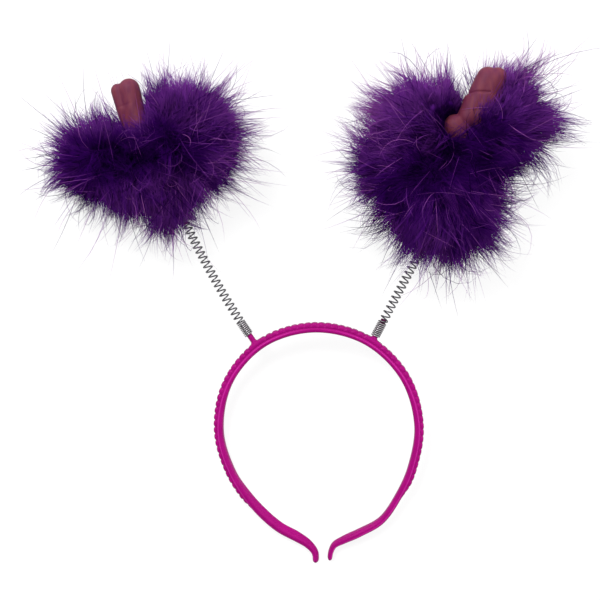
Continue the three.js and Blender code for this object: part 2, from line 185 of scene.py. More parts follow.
# %% [markdown]
# ## Table and light
#
# Catalogue pictures are often taken on a light table: a sheet of white acrylic, lit from
# below, on which a shadow is only a breath of grey. A white floor under strong lamps would
# give the same white, but it would also glare round every fine barb and eat it away.
#
# The sky gives a soft fill. It is bright near the horizon and dim overhead, because plastic and
# wire that face the camera mirror what is overhead: a bright sky there would bleach them. It
# is brighter on one side too, so that round wire has a light and a dark edge.

# %% Light table
table_size = 12.0
table_grey = (0.15, 0.15, 0.15, 1)
table_glow = 0.8

table_mesh = bpy.data.meshes.new("table")
half = table_size / 2
corners = [(-half, -half, 0), (half, -half, 0), (half, half, 0), (-half, half, 0)]
table_mesh.from_pydata(corners, [], [(0, 1, 2, 3)])
table = bpy.data.objects.new("table", table_mesh)
bpy.context.scene.collection.objects.link(table)
table_finish = new_finish(
    "white_acrylic", Base_Color=table_grey, Roughness=0.9, Specular_IOR_Level=0.0,
    Emission_Color=(1, 1, 1, 1), Emission_Strength=table_glow)[0]
table_mesh.materials.append(table_finish)

# %% Sky with a dim top and one brighter side
horizon_light = 2.3
overhead_light = 0.35
overhead_from = 0.75
bright_side = (0.5, 0.85, 0.0)
side_light = (0.5, 1.5)

sky = bpy.data.worlds.new("soft_sky")
sky.use_nodes = True
background = sky.node_tree.nodes["Background"]
direction = add_node(sky.node_tree, "TexCoord").outputs["Generated"]
height = add_node(sky.node_tree, "SeparateXYZ", {"Vector": direction}).outputs["Z"]
by_height = add_node(sky.node_tree, "MapRange", {
    "Value": height, "From Max": overhead_from, "To Min": horizon_light, "To Max": overhead_light})
to_side = add_node(sky.node_tree, "VectorMath", {0: direction, 1: bright_side}, operation="DOT_PRODUCT")
by_side = add_node(sky.node_tree, "MapRange", {
    "Value": to_side.outputs["Value"], "From Min": -1, "To Min": side_light[0], "To Max": side_light[1]})
strength = add_node(sky.node_tree, "Math", {
    0: by_height.outputs["Result"], 1: by_side.outputs["Result"]}, operation="MULTIPLY")
sky.node_tree.links.new(strength.outputs["Value"], background.inputs["Strength"])
background.inputs["Color"].default_value = (1, 1, 1, 1)
bpy.context.scene.world = sky
bpy.context.scene.view_settings.view_transform = "Standard"

# %% Soft panels
panels = [
    {"place": (-0.5, 0.65, 1.15), "size": 0.6, "power": 22.0},
    {"place": (0.9, 0.5, 1.2), "size": 1.8, "power": 18.0},
    {"place": (0.05, 0.25, 1.9), "size": 0.5, "power": 6.0},
]
for number, row in enumerate(panels):
    light = bpy.data.lights.new(f"soft_panel_{number}", "AREA")
    light.size = row["size"]
    light.energy = row["power"]
    panel = bpy.data.objects.new(light.name, light)
    panel.location = row["place"]
    panel.rotation_euler = Vector(row["place"]).to_track_quat("Z", "Y").to_euler()
    bpy.context.scene.collection.objects.link(panel)
print("Table", table_size, "m wide,", len(panels), "panels")

# %% [markdown]
# ## Surfaces from arrays
#
# Every piece here is either a skin over rings, like the band, a peg or a spring, or thousands
# of fine barbs. Blender's curve tools could make the first kind, but arrays make both, and
# they say exactly what the shape is. A skin is a grid of rows and sides, and a pole at each
# end closes it.

# %% Meshes from arrays


def new_piece(name, points, quads, triangles):
    """A mesh object from points in metres and from faces with four and with three corners."""
    corners = np.concatenate([np.ravel(quads), np.ravel(triangles)]).astype(np.int32)
    sizes = np.repeat([4, 3], [len(quads), len(triangles)])
    mesh = bpy.data.meshes.new(name)
    mesh.vertices.add(len(points))
    mesh.vertices.foreach_set("co", np.ravel(points))
    mesh.loops.add(len(corners))
    mesh.loops.foreach_set("vertex_index", corners)
    mesh.polygons.add(len(sizes))
    mesh.polygons.foreach_set("loop_start", (np.cumsum(sizes) - sizes).astype(np.int32))
    mesh.polygons.foreach_set("use_smooth", np.ones(len(sizes), bool))
    mesh.update(calc_edges=True)
    piece = bpy.data.objects.new(name, mesh)
    bpy.context.scene.collection.objects.link(piece)
    return piece


def store(piece, name, kind, values):
    """Keeps a value for each point of a piece, as an attribute that a finish can read."""
    layer = piece.data.attributes.new(name, kind, "POINT")
    key = "vector" if kind == "FLOAT_VECTOR" else "value"
    layer.data.foreach_set(key, np.ravel(values).astype(np.float32))


# %% Skins over rings


def skin_faces(rows, sides):
    """Faces of a skin over rings, with its points in order: a pole, the rings one by one, and
    the other pole. Each quad joins two neighbours of one ring to the same two of the next."""
    row, side = np.meshgrid(np.arange(rows - 1), np.arange(sides), indexing="ij")
    beside = (side + 1) % sides
    low = 1 + row * sides
    high = low + sides
    quads = np.stack([low + side, low + beside, high + beside, high + side], -1).reshape(-1, 4)
    edge = np.arange(sides)
    first = np.stack([np.zeros(sides, int), 1 + (edge + 1) % sides, 1 + edge], -1)
    last_ring = 1 + (rows - 1) * sides
    end = np.full(sides, 1 + rows * sides)
    last = np.stack([end, last_ring + edge, last_ring + (edge + 1) % sides], -1)
    return quads, np.concatenate([first, last])


def skin_over(name, rings, poles):
    """A closed piece over rings, an array of rows, sides and coordinates in mm."""
    rows, sides = rings.shape[:2]
    points = np.concatenate([poles[:1], rings.reshape(-1, 3), poles[1:]])
    return new_piece(name, on_table(points), *skin_faces(rows, sides))


def smooth_step(value, low, high):
    """Rises from 0 at low to 1 at high along 3t squared minus 2t cubed."""
    t = np.clip((value - low) / (high - low), 0, 1)
    return t * t * (3 - 2 * t)


def rings_round(centres, across, along, radii, sides):
    """Round rings: each centre plus its radius times the cosine of the turn along one direction
    and the sine of the turn along the other."""
    turn = 2 * np.pi * np.arange(sides) / sides
    circle = across[:, None] * np.cos(turn)[:, None] + along[:, None] * np.sin(turn)[:, None]
    return centres[:, None] + np.asarray(radii)[:, None, None] * circle


# %% [markdown]
# ## Lines to build along
#
# The band follows a smooth curve through a few chosen points, and each spring follows one
# cubic curve. Both are sampled finely once. After that, walking along a line by a distance is
# one interpolation, and the direction of travel is the difference between neighbours.

# %% Courses and how to walk along them
frontward = np.array([0.0, 0.0, 1.0])


def through_points(points, samples=200):
    """A smooth course through points. Between two of them it is a cubic, and its slope at a
    point comes from the distances to both neighbours, each to the power of one half."""
    inner = np.asarray(points, float)
    p = np.concatenate([[2 * inner[0] - inner[1]], inner, [2 * inner[-1] - inner[-2]]])
    gap = np.sqrt(np.linalg.norm(np.diff(p, axis=0), axis=1))[:, None]
    before, here, after = gap[:-2], gap[1:-1], gap[2:]
    p0, p1, p2, p3 = p[:-3], p[1:-2], p[2:-1], p[3:]
    slope1 = here * ((p1 - p0) / before - (p2 - p0) / (before + here) + (p2 - p1) / here)
    slope2 = here * ((p2 - p1) / here - (p3 - p1) / (here + after) + (p3 - p2) / after)
    t = (np.arange(samples) / samples)[None, :, None]
    cubic = (2 * p1 - 2 * p2 + slope1 + slope2)[:, None] * t**3
    square = (3 * p2 - 3 * p1 - 2 * slope1 - slope2)[:, None] * t**2
    spans = p1[:, None] + slope1[:, None] * t + square + cubic
    return np.concatenate([spans.reshape(-1, inner.shape[1]), inner[-1:]])


def cubic_course(start, leave, arrive, end, samples=1000):
    """The cubic curve from start to end whose handles are leave and arrive."""
    t = np.linspace(0, 1, samples)[:, None]
    return start * (1 - t) ** 3 + 3 * leave * t * (1 - t) ** 2 + 3 * arrive * t**2 * (1 - t) + end * t**3


def lengths_along(course):
    """Distance travelled up to each sample: the running sum of the steps between samples."""
    steps = np.linalg.norm(np.diff(course, axis=0), axis=1)
    return np.concatenate([[0], np.cumsum(steps)])


def walk(course, distance):
    """Points of a course at some distances along it, and the unit direction of travel there."""
    travelled = lengths_along(course)
    heading_there = unit(np.gradient(course, travelled, axis=0))
    columns = range(course.shape[1])
    points = np.stack([np.interp(distance, travelled, course[:, c]) for c in columns], -1)
    directions = np.stack([np.interp(distance, travelled, heading_there[:, c]) for c in columns], -1)
    return points, unit(directions)


def heading(angle):
    """The direction in the band's plane that lies so many degrees to the right of straight up."""
    turn = np.radians(angle)
    return np.stack([np.sin(turn), np.cos(turn), np.zeros_like(turn)], -1)


# %% [markdown]
# ## The band's course and section
#
# An alice band is moulded in one piece: a smooth rounded rail against the head, a row of
# ribs across its outer face, and two small hooks at the ends. The ribs could be a hundred
# separate bars, but a mould has no joins, so here the whole band is one skin. Its section is
# a rounded oblong, and the ribs are a wave on the outer side of that skin.

# %% Course of the band
arm_rows = {
    "left": [
        (30, 1.007), (60, 0.997), (90, 0.986), (115, 0.983), (132, 1.002), (145, 1.043),
        (157, 1.098), (167.2, 1.143), (173.2, 1.203), (176.4, 1.285), (176.9, 1.392),
    ],
    "right": [
        (30, 0.997), (60, 0.988), (90, 0.986), (115, 1.004), (132, 1.052), (148, 1.13),
        (161, 1.147), (169.5, 1.174), (174.4, 1.212), (176.3, 1.272), (177.4, 1.369),
    ],
}


def arm_points(rows, side):
    """Points of an arm from rows of degrees from the crown and share of the loop's radius."""
    angle, share = np.array(rows).T
    return heading(side * angle) * (loop_radius * share)[:, None]


band_course = through_points(
    np.concatenate([
        arm_points(arm_rows["left"], -1)[::-1],
        loop_radius * heading(np.zeros(1)),
        arm_points(arm_rows["right"], 1),
    ])
)
course_lengths = lengths_along(band_course)
band_length = course_lengths[-1]
course_angles = np.degrees(np.arctan2(band_course[:, 0], band_course[:, 1]))


def distance_at(angle):
    """How far along the band it passes a number of degrees from the crown."""
    return np.interp(angle, course_angles, course_lengths)


crown_distance = distance_at(0)
print("Band is", round(band_length, 1), "mm long, crown at", round(crown_distance, 1))

# %% Rows of the band, and how it turns
rib_pitch = 4.0
band_width = 7.0
tip_width = 4.2
tip_thickness = 2.8
tip_taper = 26.0
tip_rounding = 2.6
nose_degrees = np.arange(12, 90, 12)
arm_twist = {
    "left": [(-145, 32), (-122, 5), (-60, 0)],
    "right": [(60, 0), (100, 3), (145, -2), (170, 8)],
}
twist_angles, twist_degrees = np.array(arm_twist["left"] + arm_twist["right"], float).T
rows_per_rib = 9

band_row_step = rib_pitch / rows_per_rib
first_row = tip_rounding + (crown_distance - tip_rounding) % band_row_step
band_inside = np.arange(first_row, band_length - tip_rounding, band_row_step)
nose_rows = tip_rounding * (1 - np.cos(np.radians(nose_degrees)))
band_rows = np.concatenate([nose_rows, band_inside, band_length - nose_rows[::-1]])


def band_frame(distance):
    """Place and directions of the band: along is the direction of travel, out is square to it
    in the plane, and both out and front turn about it by the twist, which shows the inside."""
    middle, along = walk(band_course, distance)
    out = np.cross(frontward, along)
    angle = np.interp(distance, course_lengths, course_angles)
    twist = -np.radians(np.interp(angle, twist_angles, twist_degrees))[:, None]
    turned_out = out * np.cos(twist) + frontward * np.sin(twist)
    turned_front = frontward * np.cos(twist) - out * np.sin(twist)
    return middle, along, turned_out, turned_front


# %% [markdown]
# ## Several sections of one skin
#
# Cut the band across and the cut looks different from place to place: through a rib, between
# two ribs, or on a smooth arm. Over the crown a groove parts rail and ribs, and down the sides
# the rail's crest takes its place. Each cut is written down as half a section, from the middle
# of the inside round the front to the middle of the outside. All have equally many points, so
# a point can slide from one to the other, and the skin between them is as smooth as the mould.

# %% The sections, point by point
# Each point of a section is (away, ahead, lift): away from the head as a share of half the
# thickness, towards the front as a share of half the width, and lift by a share of a rib.
rail_points = [
    (-1.0, 0.0, 0), (-1.0, 0.3, 0), (-0.98, 0.52, 0), (-0.91, 0.69, 0), (-0.78, 0.82, 0),
    (-0.56, 0.91, 0), (-0.3, 0.97, 0), (-0.06, 1.0, 0),
]
groove_points = [(0.08, 0.99, 0), (0.19, 0.9, 0), (0.32, 0.79, 0), (0.48, 0.75, 0), (0.62, 0.79, 0)]
crest_points = [(0.14, 1.02, 0), (0.34, 1.03, 0), (0.5, 1.0, 0), (0.61, 0.92, 0), (0.69, 0.84, 0)]
rib_points = [
    (0.78, 0.85, 0), (0.95, 0.88, 0), (1.0, 0.88, 0.3), (1.0, 0.86, 0.55), (1.0, 0.81, 0.78),
    (1.0, 0.72, 0.94), (1.0, 0.56, 1), (1.0, 0.3, 1), (1.0, 0.0, 1),
]
slit_points = [
    (0.76, 0.82, 0), (0.9, 0.78, 0), (1.0, 0.7, 0), (1.0, 0.64, 0.12), (1.0, 0.59, 0.38),
    (1.0, 0.53, 0.62), (1.0, 0.44, 0.72), (1.0, 0.26, 0.74), (1.0, 0.0, 0.74),
]
smooth_points = [
    (0.12, 0.99, 0), (0.25, 0.98, 0), (0.4, 0.97, 0), (0.54, 0.95, 0), (0.66, 0.92, 0),
    (0.76, 0.87, 0), (0.85, 0.8, 0), (0.92, 0.7, 0), (0.97, 0.58, 0), (0.99, 0.46, 0),
    (1.0, 0.34, 0), (1.0, 0.22, 0), (1.0, 0.11, 0), (1.0, 0.0, 0),
]


def whole_section(half):
    """A half section and its mirror image behind, as one turn without doubled ends."""
    half = np.array(half, float)
    return np.concatenate([half, half[-2:0:-1] * [1, -1, 1]])


through_rib = whole_section(rail_points + groove_points + rib_points)
through_slit = whole_section(rail_points + groove_points + slit_points)
through_side_rib = whole_section(rail_points + crest_points + rib_points)
through_side_slit = whole_section(rail_points + crest_points + slit_points)
through_arm = whole_section(rail_points + smooth_points)
print("Sections of", len(through_rib), "points each")

# %% [markdown]
# ## Ribs that fade
#
# On a real band the ribs are not all alike. They are full over the crown, sink a little on the
# sides, and stop some way down each arm, and round a peg they give way to a flat pad. None of
# this needs a new shape: each section has a share that depends on the distance along the band,
# and the skin is the blend by those shares.

# %% Where each section holds
rib_height = 1.95
ribs_end = {"left": 142.0, "right": 133.0}
rib_fade = 12.0
rib_power = 3.4
groove_span = (40.0, 95.0)
rib_sink_span = (70.0, 100.0)
rib_sink = 0.25
# Degrees from the crown, and how much of a rib's height the slits there are deeper by.
slit_sink = [(-110, 0.05), (-92, 0.34), (-30, 0.34), (-12, 0.1), (20, 0.0)]
peg_angle = {"left": -34.5, "right": 33.5}
pad_reach = 4.6
pad_edge = 1.0


def rib_share(distance):
    """How much of a rib there is at a distance: within a pitch it is 1 minus the distance from
    the rib's middle to a power, and it stays 1 round a peg."""
    phase = (distance - crown_distance) / rib_pitch
    off_middle = 2 * np.abs(phase - np.round(phase))
    from_peg = np.min([np.abs(distance - distance_at(angle)) for angle in peg_angle.values()], axis=0)
    pad = 1 - smooth_step(from_peg, pad_reach - pad_edge, pad_reach + pad_edge)
    return np.maximum(1 - off_middle**rib_power, pad)


def ribbed_share(distance):
    """1 where the band is ribbed, going to 0 down the arms."""
    angle = np.interp(distance, course_lengths, course_angles)
    end = np.where(angle < 0, ribs_end["left"], ribs_end["right"])
    return 1 - smooth_step(np.abs(angle), end - rib_fade, end + rib_pitch / 2)


# %% Rings and skin of the band


def part_way(first, second, share):
    """A section for each row of the band: the first one plus its share of the way to the second."""
    return first + (second - first) * share[:, None, None]


def band_rings(distance):
    """The band's sections: a blend by the shares of rib, side and arm, times half the thickness
    and half the width, which shrink towards the tips and end in a half-round nose. Ribs sink a
    little on the sides, and the slits between them are deeper on the left arm."""
    middle, _, out, front_way = band_frame(distance)
    from_tip = np.minimum(distance, band_length - distance)
    taper = smooth_step(from_tip, 0, tip_taper)
    nose = np.sqrt(1 - (1 - np.minimum(1, from_tip / tip_rounding)) ** 2)
    half_width = nose * (tip_width + (band_width - tip_width) * taper) / 2
    half_thickness = nose * (tip_thickness + (band_thickness - tip_thickness) * taper) / 2
    angle = np.interp(distance, course_lengths, course_angles)
    by_rib = rib_share(distance)
    by_side = smooth_step(np.abs(angle), *groove_span)
    grooved = part_way(through_slit, through_rib, by_rib)
    crested = part_way(through_side_slit, through_side_rib, by_rib)
    section = part_way(through_arm, part_way(grooved, crested, by_side), ribbed_share(distance))
    lift = rib_height * (1 - rib_sink * smooth_step(np.abs(angle), *rib_sink_span))
    lift = lift * (1 - np.interp(angle, *np.array(slit_sink).T) * (1 - by_rib))
    away = half_thickness[:, None] * section[..., 0] + lift[:, None] * section[..., 2]
    ahead = half_width[:, None] * section[..., 1]
    return middle[:, None] + out[:, None] * away[..., None] + front_way[:, None] * ahead[..., None]


band_tips = walk(band_course, np.array([0, band_length]))[0]
band = skin_over("moulded_band", band_rings(band_rows), band_tips)
print("Band skin:", len(band_rows), "rows of", len(through_rib))

# %% [markdown]
# ## Pegs
#
# A peg grows out of the band where the spring starts. On a moulding its foot is never a sharp
# corner: a fillet lets the plastic flow and the peg leave the mould whole. Each peg is turned
# like a chess piece, from a profile of heights and radii, then joined to the band so that
# both are one piece of plastic.

# %% Pegs with a fillet at the foot
peg_lean = {"left": -32.0, "right": 29.0}
peg_length = 17.2
peg_radius = 1.72
peg_fillet = 1.5
peg_fillet_ahead = 0.5
peg_end_round = 0.6
peg_sink = 0.15
peg_sides = 40
round_rows = 11
shank_rows = 14
spring_seat = {"left": 9.9, "right": 5.9}
wrap_top = band_thickness / 2 + rib_height


def peg_profile():
    """Heights and radii of a peg: a quarter circle that flares out at the foot, a straight
    shank, and a quarter circle that rounds the end."""
    turn = np.radians(np.linspace(0, 90, round_rows))
    foot_height = wrap_top - peg_sink + peg_fillet * (1 - np.cos(turn))
    foot_radius = peg_radius + peg_fillet * (1 - np.sin(turn))
    end_height = peg_length - peg_end_round * (1 - np.sin(turn))
    end_radius = peg_radius - peg_end_round * (1 - np.cos(turn))
    shank = np.linspace(foot_height[-1], end_height[0], shank_rows + 2)[1:-1]
    heights = np.concatenate([[0], foot_height, shank, end_height])
    radii = [[peg_radius + peg_fillet], foot_radius, np.full(shank_rows, peg_radius), end_radius]
    return heights, np.concatenate(radii)


def peg_root(side):
    """Middle of the band under a peg."""
    return walk(band_course, np.array([distance_at(peg_angle[side])]))[0][0]


def peg(side):
    """A peg: rings of its profile, up its own axis from the middle of the band. What the fillet
    adds to the radius is only partly added towards the front, where the rib is narrow."""
    up = heading(peg_lean[side])
    heights, radii = peg_profile()
    centres = peg_root(side) + heights[:, None] * up
    across = np.tile(np.cross(frontward, up), (len(heights), 1))
    flare = np.maximum(0, radii - peg_radius)
    ahead = frontward * (1 - (1 - peg_fillet_ahead) * flare / radii)[:, None]
    rings = rings_round(centres, ahead, across, radii, peg_sides)
    return skin_over("peg_" + side, rings, centres[[0, -1]])


# %% [markdown]
# ## Joining without a seam
#
# A modifier such as Boolean stays open to change for as long as it is on the stack. Here the
# result is wanted at once, because the next cell measures its points. So the modifiers are
# worked out, their mesh is kept, and they are taken off again.

# %% Modifiers worked out at once


def finished(piece, *modifiers):
    """Lets modifiers work on a piece one after the other, then keeps only their result."""
    for kind, settings in modifiers:
        step = piece.modifiers.new(kind.lower(), kind)
        for setting, value in settings.items():
            setattr(step, setting, value)
    bpy.context.view_layer.update()
    whole = piece.evaluated_get(bpy.context.evaluated_depsgraph_get())
    result = bpy.data.meshes.new_from_object(whole)
    piece.modifiers.clear()
    piece.data = result
    return piece


def joined_by_cut(piece, others):
    """The union of a piece with others, as one closed skin."""
    unions = [("BOOLEAN", {"operation": "UNION", "solver": "EXACT", "object": other}) for other in others]
    finished(piece, *unions)
    for other in others:
        bpy.data.objects.remove(other)
    return piece


# %% [markdown]
# ## Where light and shade are painted on the plastic
#
# Along the crest of the rail a highlight is painted, and on the pegs a shade is painted where the
# springs' close turns hold them. Both follow the shape, so a pattern in space would miss them. The points of
# the band are
# asked instead: each is told how near it lies to the crest, and whether a spring holds it.

# %% Places of painted highlight and shade, and the band with its pegs
crest_away = (0.2, 0.8)
crest_width = 0.32
crest_from = 25.0
front_from = band_width / 4
# How softly the painted shade on the pegs starts at the spring's seat, in mm.
spring_shade_edge = 0.4


# The crest's share says where a highlight is painted on the band, as paler magenta.
def crest_highlight_share(points):
    """1 along the crest of the rail, going to 0 beside it as the exponential of minus the
    squared distance in the crest's widths. Only the front has it, and the crown hasn't."""
    angle = np.degrees(np.arctan2(points[:, 0], points[:, 1]))
    middle, _, out, front_way = band_frame(distance_at(angle))
    away = np.sum((points - middle) * out, -1)
    ahead = np.sum((points - middle) * front_way, -1)
    by_side = smooth_step(np.abs(angle), *groove_span)
    beside = (away - crest_away[0] - (crest_away[1] - crest_away[0]) * by_side) / crest_width
    in_front = ahead > front_from
    return np.exp(-(beside**2)) * in_front * smooth_step(np.abs(angle), 0, crest_from)


def spring_shade_share(points):
    """1 where shade is painted on a peg: where the spring holds it, from the height of its seat upwards, and
    0 elsewhere.
    """
    above_seat = [
        (points - peg_root(side)) @ heading(peg_lean[side]) - spring_seat[side]
        for side in ("left", "right")
    ]
    return smooth_step(np.max(above_seat, axis=0), -spring_shade_edge, spring_shade_edge)


joined_by_cut(band, [peg("left"), peg("right")])
band.data.polygons.foreach_set("use_smooth", np.ones(len(band.data.polygons), bool))
# A painted highlight: the finish pales the band's colour along the crest by this share.
store(band, "painted_highlight", "FLOAT", crest_highlight_share(off_table(mesh_points(band))))
# Painted shade: the finish darkens the pegs nearly to black where the springs' close turns hold them.
store(band, "painted_spring_shade", "FLOAT", spring_shade_share(off_table(mesh_points(band))))
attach(band, "root")
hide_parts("band")
print("Band with its pegs:", len(band.data.polygons), "faces")

# %% [markdown]
# ## Springs
#
# A bopper's spring is one length of steel wire: close turns that grip the peg, open turns
# that let the pompom bob, and close turns again round the topper's stem. A Screw modifier
# makes a straight spring, but this one bends, so the wire is a small circle carried along a
# helix whose own axis is a curve.

# %% Axis of a spring, and its turns
wire_diameter = 0.9
coil_diameter = 5.9
closed_gap = 0.25
closed_turns = 8
open_pitch = 3.3
top_closed_turns = 3
steps_per_turn = 24
spring_reach = {"left": 82.0, "right": 66.5}
spring_chord = {"left": -27.0, "right": 29.5}
spring_end_lean = {"left": -23.0, "right": 30.0}
coil_radius = (coil_diameter - wire_diameter) / 2
close_pitch = wire_diameter + closed_gap
closed_length = (closed_turns + top_closed_turns) * close_pitch


def spring_course(side):
    """Axis of a spring: a cubic curve that leaves along the peg and arrives along its last
    turn, with handles a third of its reach."""
    start = peg_root(side) + spring_seat[side] * heading(peg_lean[side])
    end = start + spring_reach[side] * heading(spring_chord[side])
    handle = spring_reach[side] / 3
    leave = start + handle * heading(peg_lean[side])
    return cubic_course(start, leave, end - handle * heading(spring_end_lean[side]), end)


def turn_heights(turn, open_turns, length):
    """Distance along the axis at each turn: close turns climb by the wire and a hair, open
    ones share the rest evenly."""
    below = np.minimum(turn, closed_turns) * close_pitch
    between = np.clip(turn - closed_turns, 0, open_turns) * (length - closed_length) / open_turns
    above = np.maximum(0, turn - closed_turns - open_turns) * close_pitch
    return np.minimum(below + between + above, length)


# %% [markdown]
# ## Wire round the axis
#
# The wire is laid round its axis turn by turn. Each of its points also keeps its place on the
# wire, because the finish later draws streaks along it, and how much painted highlight its turn gets.

# %% Wire carried along the bent helix
wire_sides = 10
highlight_edge = 0.5


def places_on_wire(helix):
    """Where each point lies on the wire: cosine and sine of its turn round the wire, and the
    distance along it in mm. The poles lie in the middle of the wire's ends."""
    turn = 2 * np.pi * np.arange(wire_sides) / wire_sides
    along = lengths_along(helix)
    grid = np.empty((len(helix), wire_sides, 3))
    grid[..., 0] = np.cos(turn)
    grid[..., 1] = np.sin(turn)
    grid[..., 2] = along[:, None]
    return np.concatenate([[[0, 0, 0]], grid.reshape(-1, 3), [[0, 0, along[-1]]]])


def spring(side):
    """The wire: at each step a circle round the point of the helix, which is the axis plus the
    coil's radius times cosine across and sine out of the front."""
    course = spring_course(side)
    length = lengths_along(course)[-1]
    open_turns = round((length - closed_length) / open_pitch)
    turns = closed_turns + open_turns + top_closed_turns
    turn = np.arange(turns * steps_per_turn + 1) / steps_per_turn
    centre, up = walk(course, turn_heights(turn, open_turns, length))
    across = np.cross(frontward, up)
    angle = 2 * np.pi * turn[:, None]
    outward = across * np.cos(angle) + frontward * np.sin(angle)
    helix = centre + coil_radius * outward
    forward = unit(np.gradient(helix, axis=0))
    second = np.cross(forward, outward)
    radii = np.full(len(helix), wire_diameter / 2)
    rings = rings_round(helix, outward, second, radii, wire_sides)
    wire = skin_over("spring_wire_" + side, rings, helix[[0, -1]])
    store(wire, "on_wire", "FLOAT_VECTOR", places_on_wire(helix))
    # The close turns on the peg get a painted highlight, which fades out over one turn round their end.
    by_ring = 1 - smooth_step(turn, closed_turns - highlight_edge, closed_turns + highlight_edge)
    store(wire, "painted_highlight", "FLOAT", np.concatenate([[1], np.repeat(by_ring, wire_sides), [0]]))
    print("Spring", side, "has", turns, "turns over", round(length, 1), "mm")
    return wire


springs = {side: spring(side) for side in ("left", "right")}
for side, wire in springs.items():
    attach(wire, "root")
    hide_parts("spring_" + side)

# %% [markdown]
# ## Toppers
#
# The toppers are soft vinyl, moulded hollow, with full round lobes that run into each other.
# They could be sculpted, but the lobes are simple enough to name: each is a ball drawn out
# between two centres. A voxel remesh welds stem and lobes into one skin, and a smoothing pass
# melts the lines where they meet, as the soft mould does. Soft vinyl also takes a fold where
# it was pressed in its box.

# %% Where the toppers' lobes and stems lie
topper_radius = 6.5
topper_neck_radius = 5.2
topper_stem_grip = 5.0
topper_stem_length = {"left": 78.0, "right": 92.0}
topper_head_length = 15.0
topper_lean = {"left": -24.0, "right": 20.0}
topper_neck_lean = {"left": -8.0, "right": 25.0}
topper_lobes = {
    "left": [
        {"foot": (0.34, -0.6), "top": (0.1, 0.72), "radius": 1.0},
        {"foot": (-0.02, -0.7), "top": (-0.36, 0.68), "radius": 0.66},
    ],
    "right": [
        {"foot": (-0.2, -0.7), "top": (0.58, 0.77), "radius": 1.0},
        {"foot": (0.16, -0.7), "top": (0.78, 0.68), "radius": 1.0},
        {"foot": (0.42, -0.7), "top": (0.98, 0.78), "radius": 0.88},
        {"foot": (-0.5, -1.6), "top": (-0.74, -1.0), "radius": 0.95},
    ],
}
neck_handle = 0.25


def stem_course(side):
    """Axis of a topper's stem, from inside the spring's last turns to the foot of its head."""
    lean = heading(spring_end_lean[side])
    start = spring_course(side)[-1] - topper_stem_grip * lean
    length = topper_stem_length[side]
    end = start + length * heading(topper_lean[side])
    neck = heading(topper_neck_lean[side])
    return cubic_course(start, start + length / 3 * lean, end - length * neck_handle * neck, end)


def head_places(side, shares):
    """Places by a topper's head, in mm, from shares of its length measured from the stem's end."""
    shares = np.array(shares, float)
    return shares * topper_head_length + stem_course(side)[-1][: shares.shape[-1]]


def lobe_ends(side, row):
    """Foot and top centre of a lobe, in mm."""
    return head_places(side, [(*row["foot"], 0), (*row["top"], 0)])


# %% Lobes and stems as closed skins
stem_radius = 1.6
stem_rows = 40
lobe_rows = 9
lobe_sides = 32
last_latitude = 80


def stem(side):
    """The stem: round rings that swell from the grip in the spring to the neck of the head."""
    course = stem_course(side)
    length = lengths_along(course)[-1]
    share = np.linspace(0, 1, stem_rows)
    centres, along = walk(course, share * length)
    known_at = [0, topper_stem_grip / length, 0.5, 1]
    halfway_radius = (stem_radius + topper_neck_radius) / 2
    radii = np.interp(share, known_at, [stem_radius, stem_radius, halfway_radius, topper_neck_radius])
    front_way = np.tile(frontward, (len(share), 1))
    rings = rings_round(centres, front_way, np.cross(frontward, along), radii, lobe_sides)
    return skin_over("stem", rings, centres[[0, -1]])


def lobe(foot, top, radius):
    """A ball drawn out from foot to top: rings by latitude, the southern half round the foot
    and the northern half round the top."""
    along = unit(top - foot)
    half = np.linspace(0, last_latitude, lobe_rows)
    latitude = np.radians(np.concatenate([-half[::-1], half]))
    middle = np.repeat([foot, top], lobe_rows, axis=0)
    centres = middle + radius * np.sin(latitude)[:, None] * along
    across = np.tile(np.cross(frontward, along), (len(latitude), 1))
    ahead = np.tile(frontward, (len(latitude), 1))
    rings = rings_round(centres, ahead, across, radius * np.cos(latitude), lobe_sides)
    return skin_over("lobe", rings, np.stack([foot - radius * along, top + radius * along]))


def join_pieces(name, pieces):
    """Several pieces as one object, each with its own closed skin."""
    with bpy.context.temp_override(active_object=pieces[0], selected_editable_objects=pieces):
        bpy.ops.object.join()
    pieces[0].name = name
    return pieces[0]


# %% [markdown]
# ## Pressed in its box
#
# A fold could be sculpted by hand. Here it is a short line across the head: every point moves
# inwards by an amount that falls off beside that line. The same measure, the distance past a
# line, serves once more further down, where fluff must leave the topper in view.

# %% Welding, melting and folding a topper
topper_voxel = 0.45 * mm
melt_share = 0.6
melt_rounds = 18
folds = {"left": [(-0.32, 0.02), (0.2, 0.16)], "right": [(-0.36, 0.17), (0.1, 0.24), (0.62, 0.2)]}
fold_depth = {"left": 0.12, "right": 0.6}
fold_width = 0.6


def past_line(points, corners):
    """Distance in the plane from points to the nearest stretch of a line through corners. It is
    above 0 on the left of the line and below 0 on its right."""
    starts, spans = corners[:-1], np.diff(corners, axis=0)
    offset = points[..., None, :2] - starts
    share = np.clip(np.sum(offset * spans, -1) / np.sum(spans**2, -1), 0, 1)
    distance = np.linalg.norm(offset - share[..., None] * spans, axis=-1)
    nearest = np.argmin(distance, axis=-1)[..., None]
    left_of = spans[:, 0] * offset[..., 1] - spans[:, 1] * offset[..., 0]
    signed = np.where(left_of < 0, -distance, distance)
    return np.take_along_axis(signed, nearest, -1)[..., 0]


def fold(side, piece):
    """Presses a fold into a topper: points go inwards by the depth times the exponential of
    minus the squared distance from the fold's line, in its widths."""
    points = mesh_points(piece)
    normals = np.empty(points.size)
    piece.data.vertices.foreach_get("normal", normals)
    away = past_line(off_table(points), head_places(side, folds[side])) / fold_width
    press = fold_depth[side] * mm * np.exp(-(away**2))
    pressed = points - press[:, None] * normals.reshape(-1, 3)
    piece.data.vertices.foreach_set("co", pressed.ravel())
    piece.data.update()
    return piece


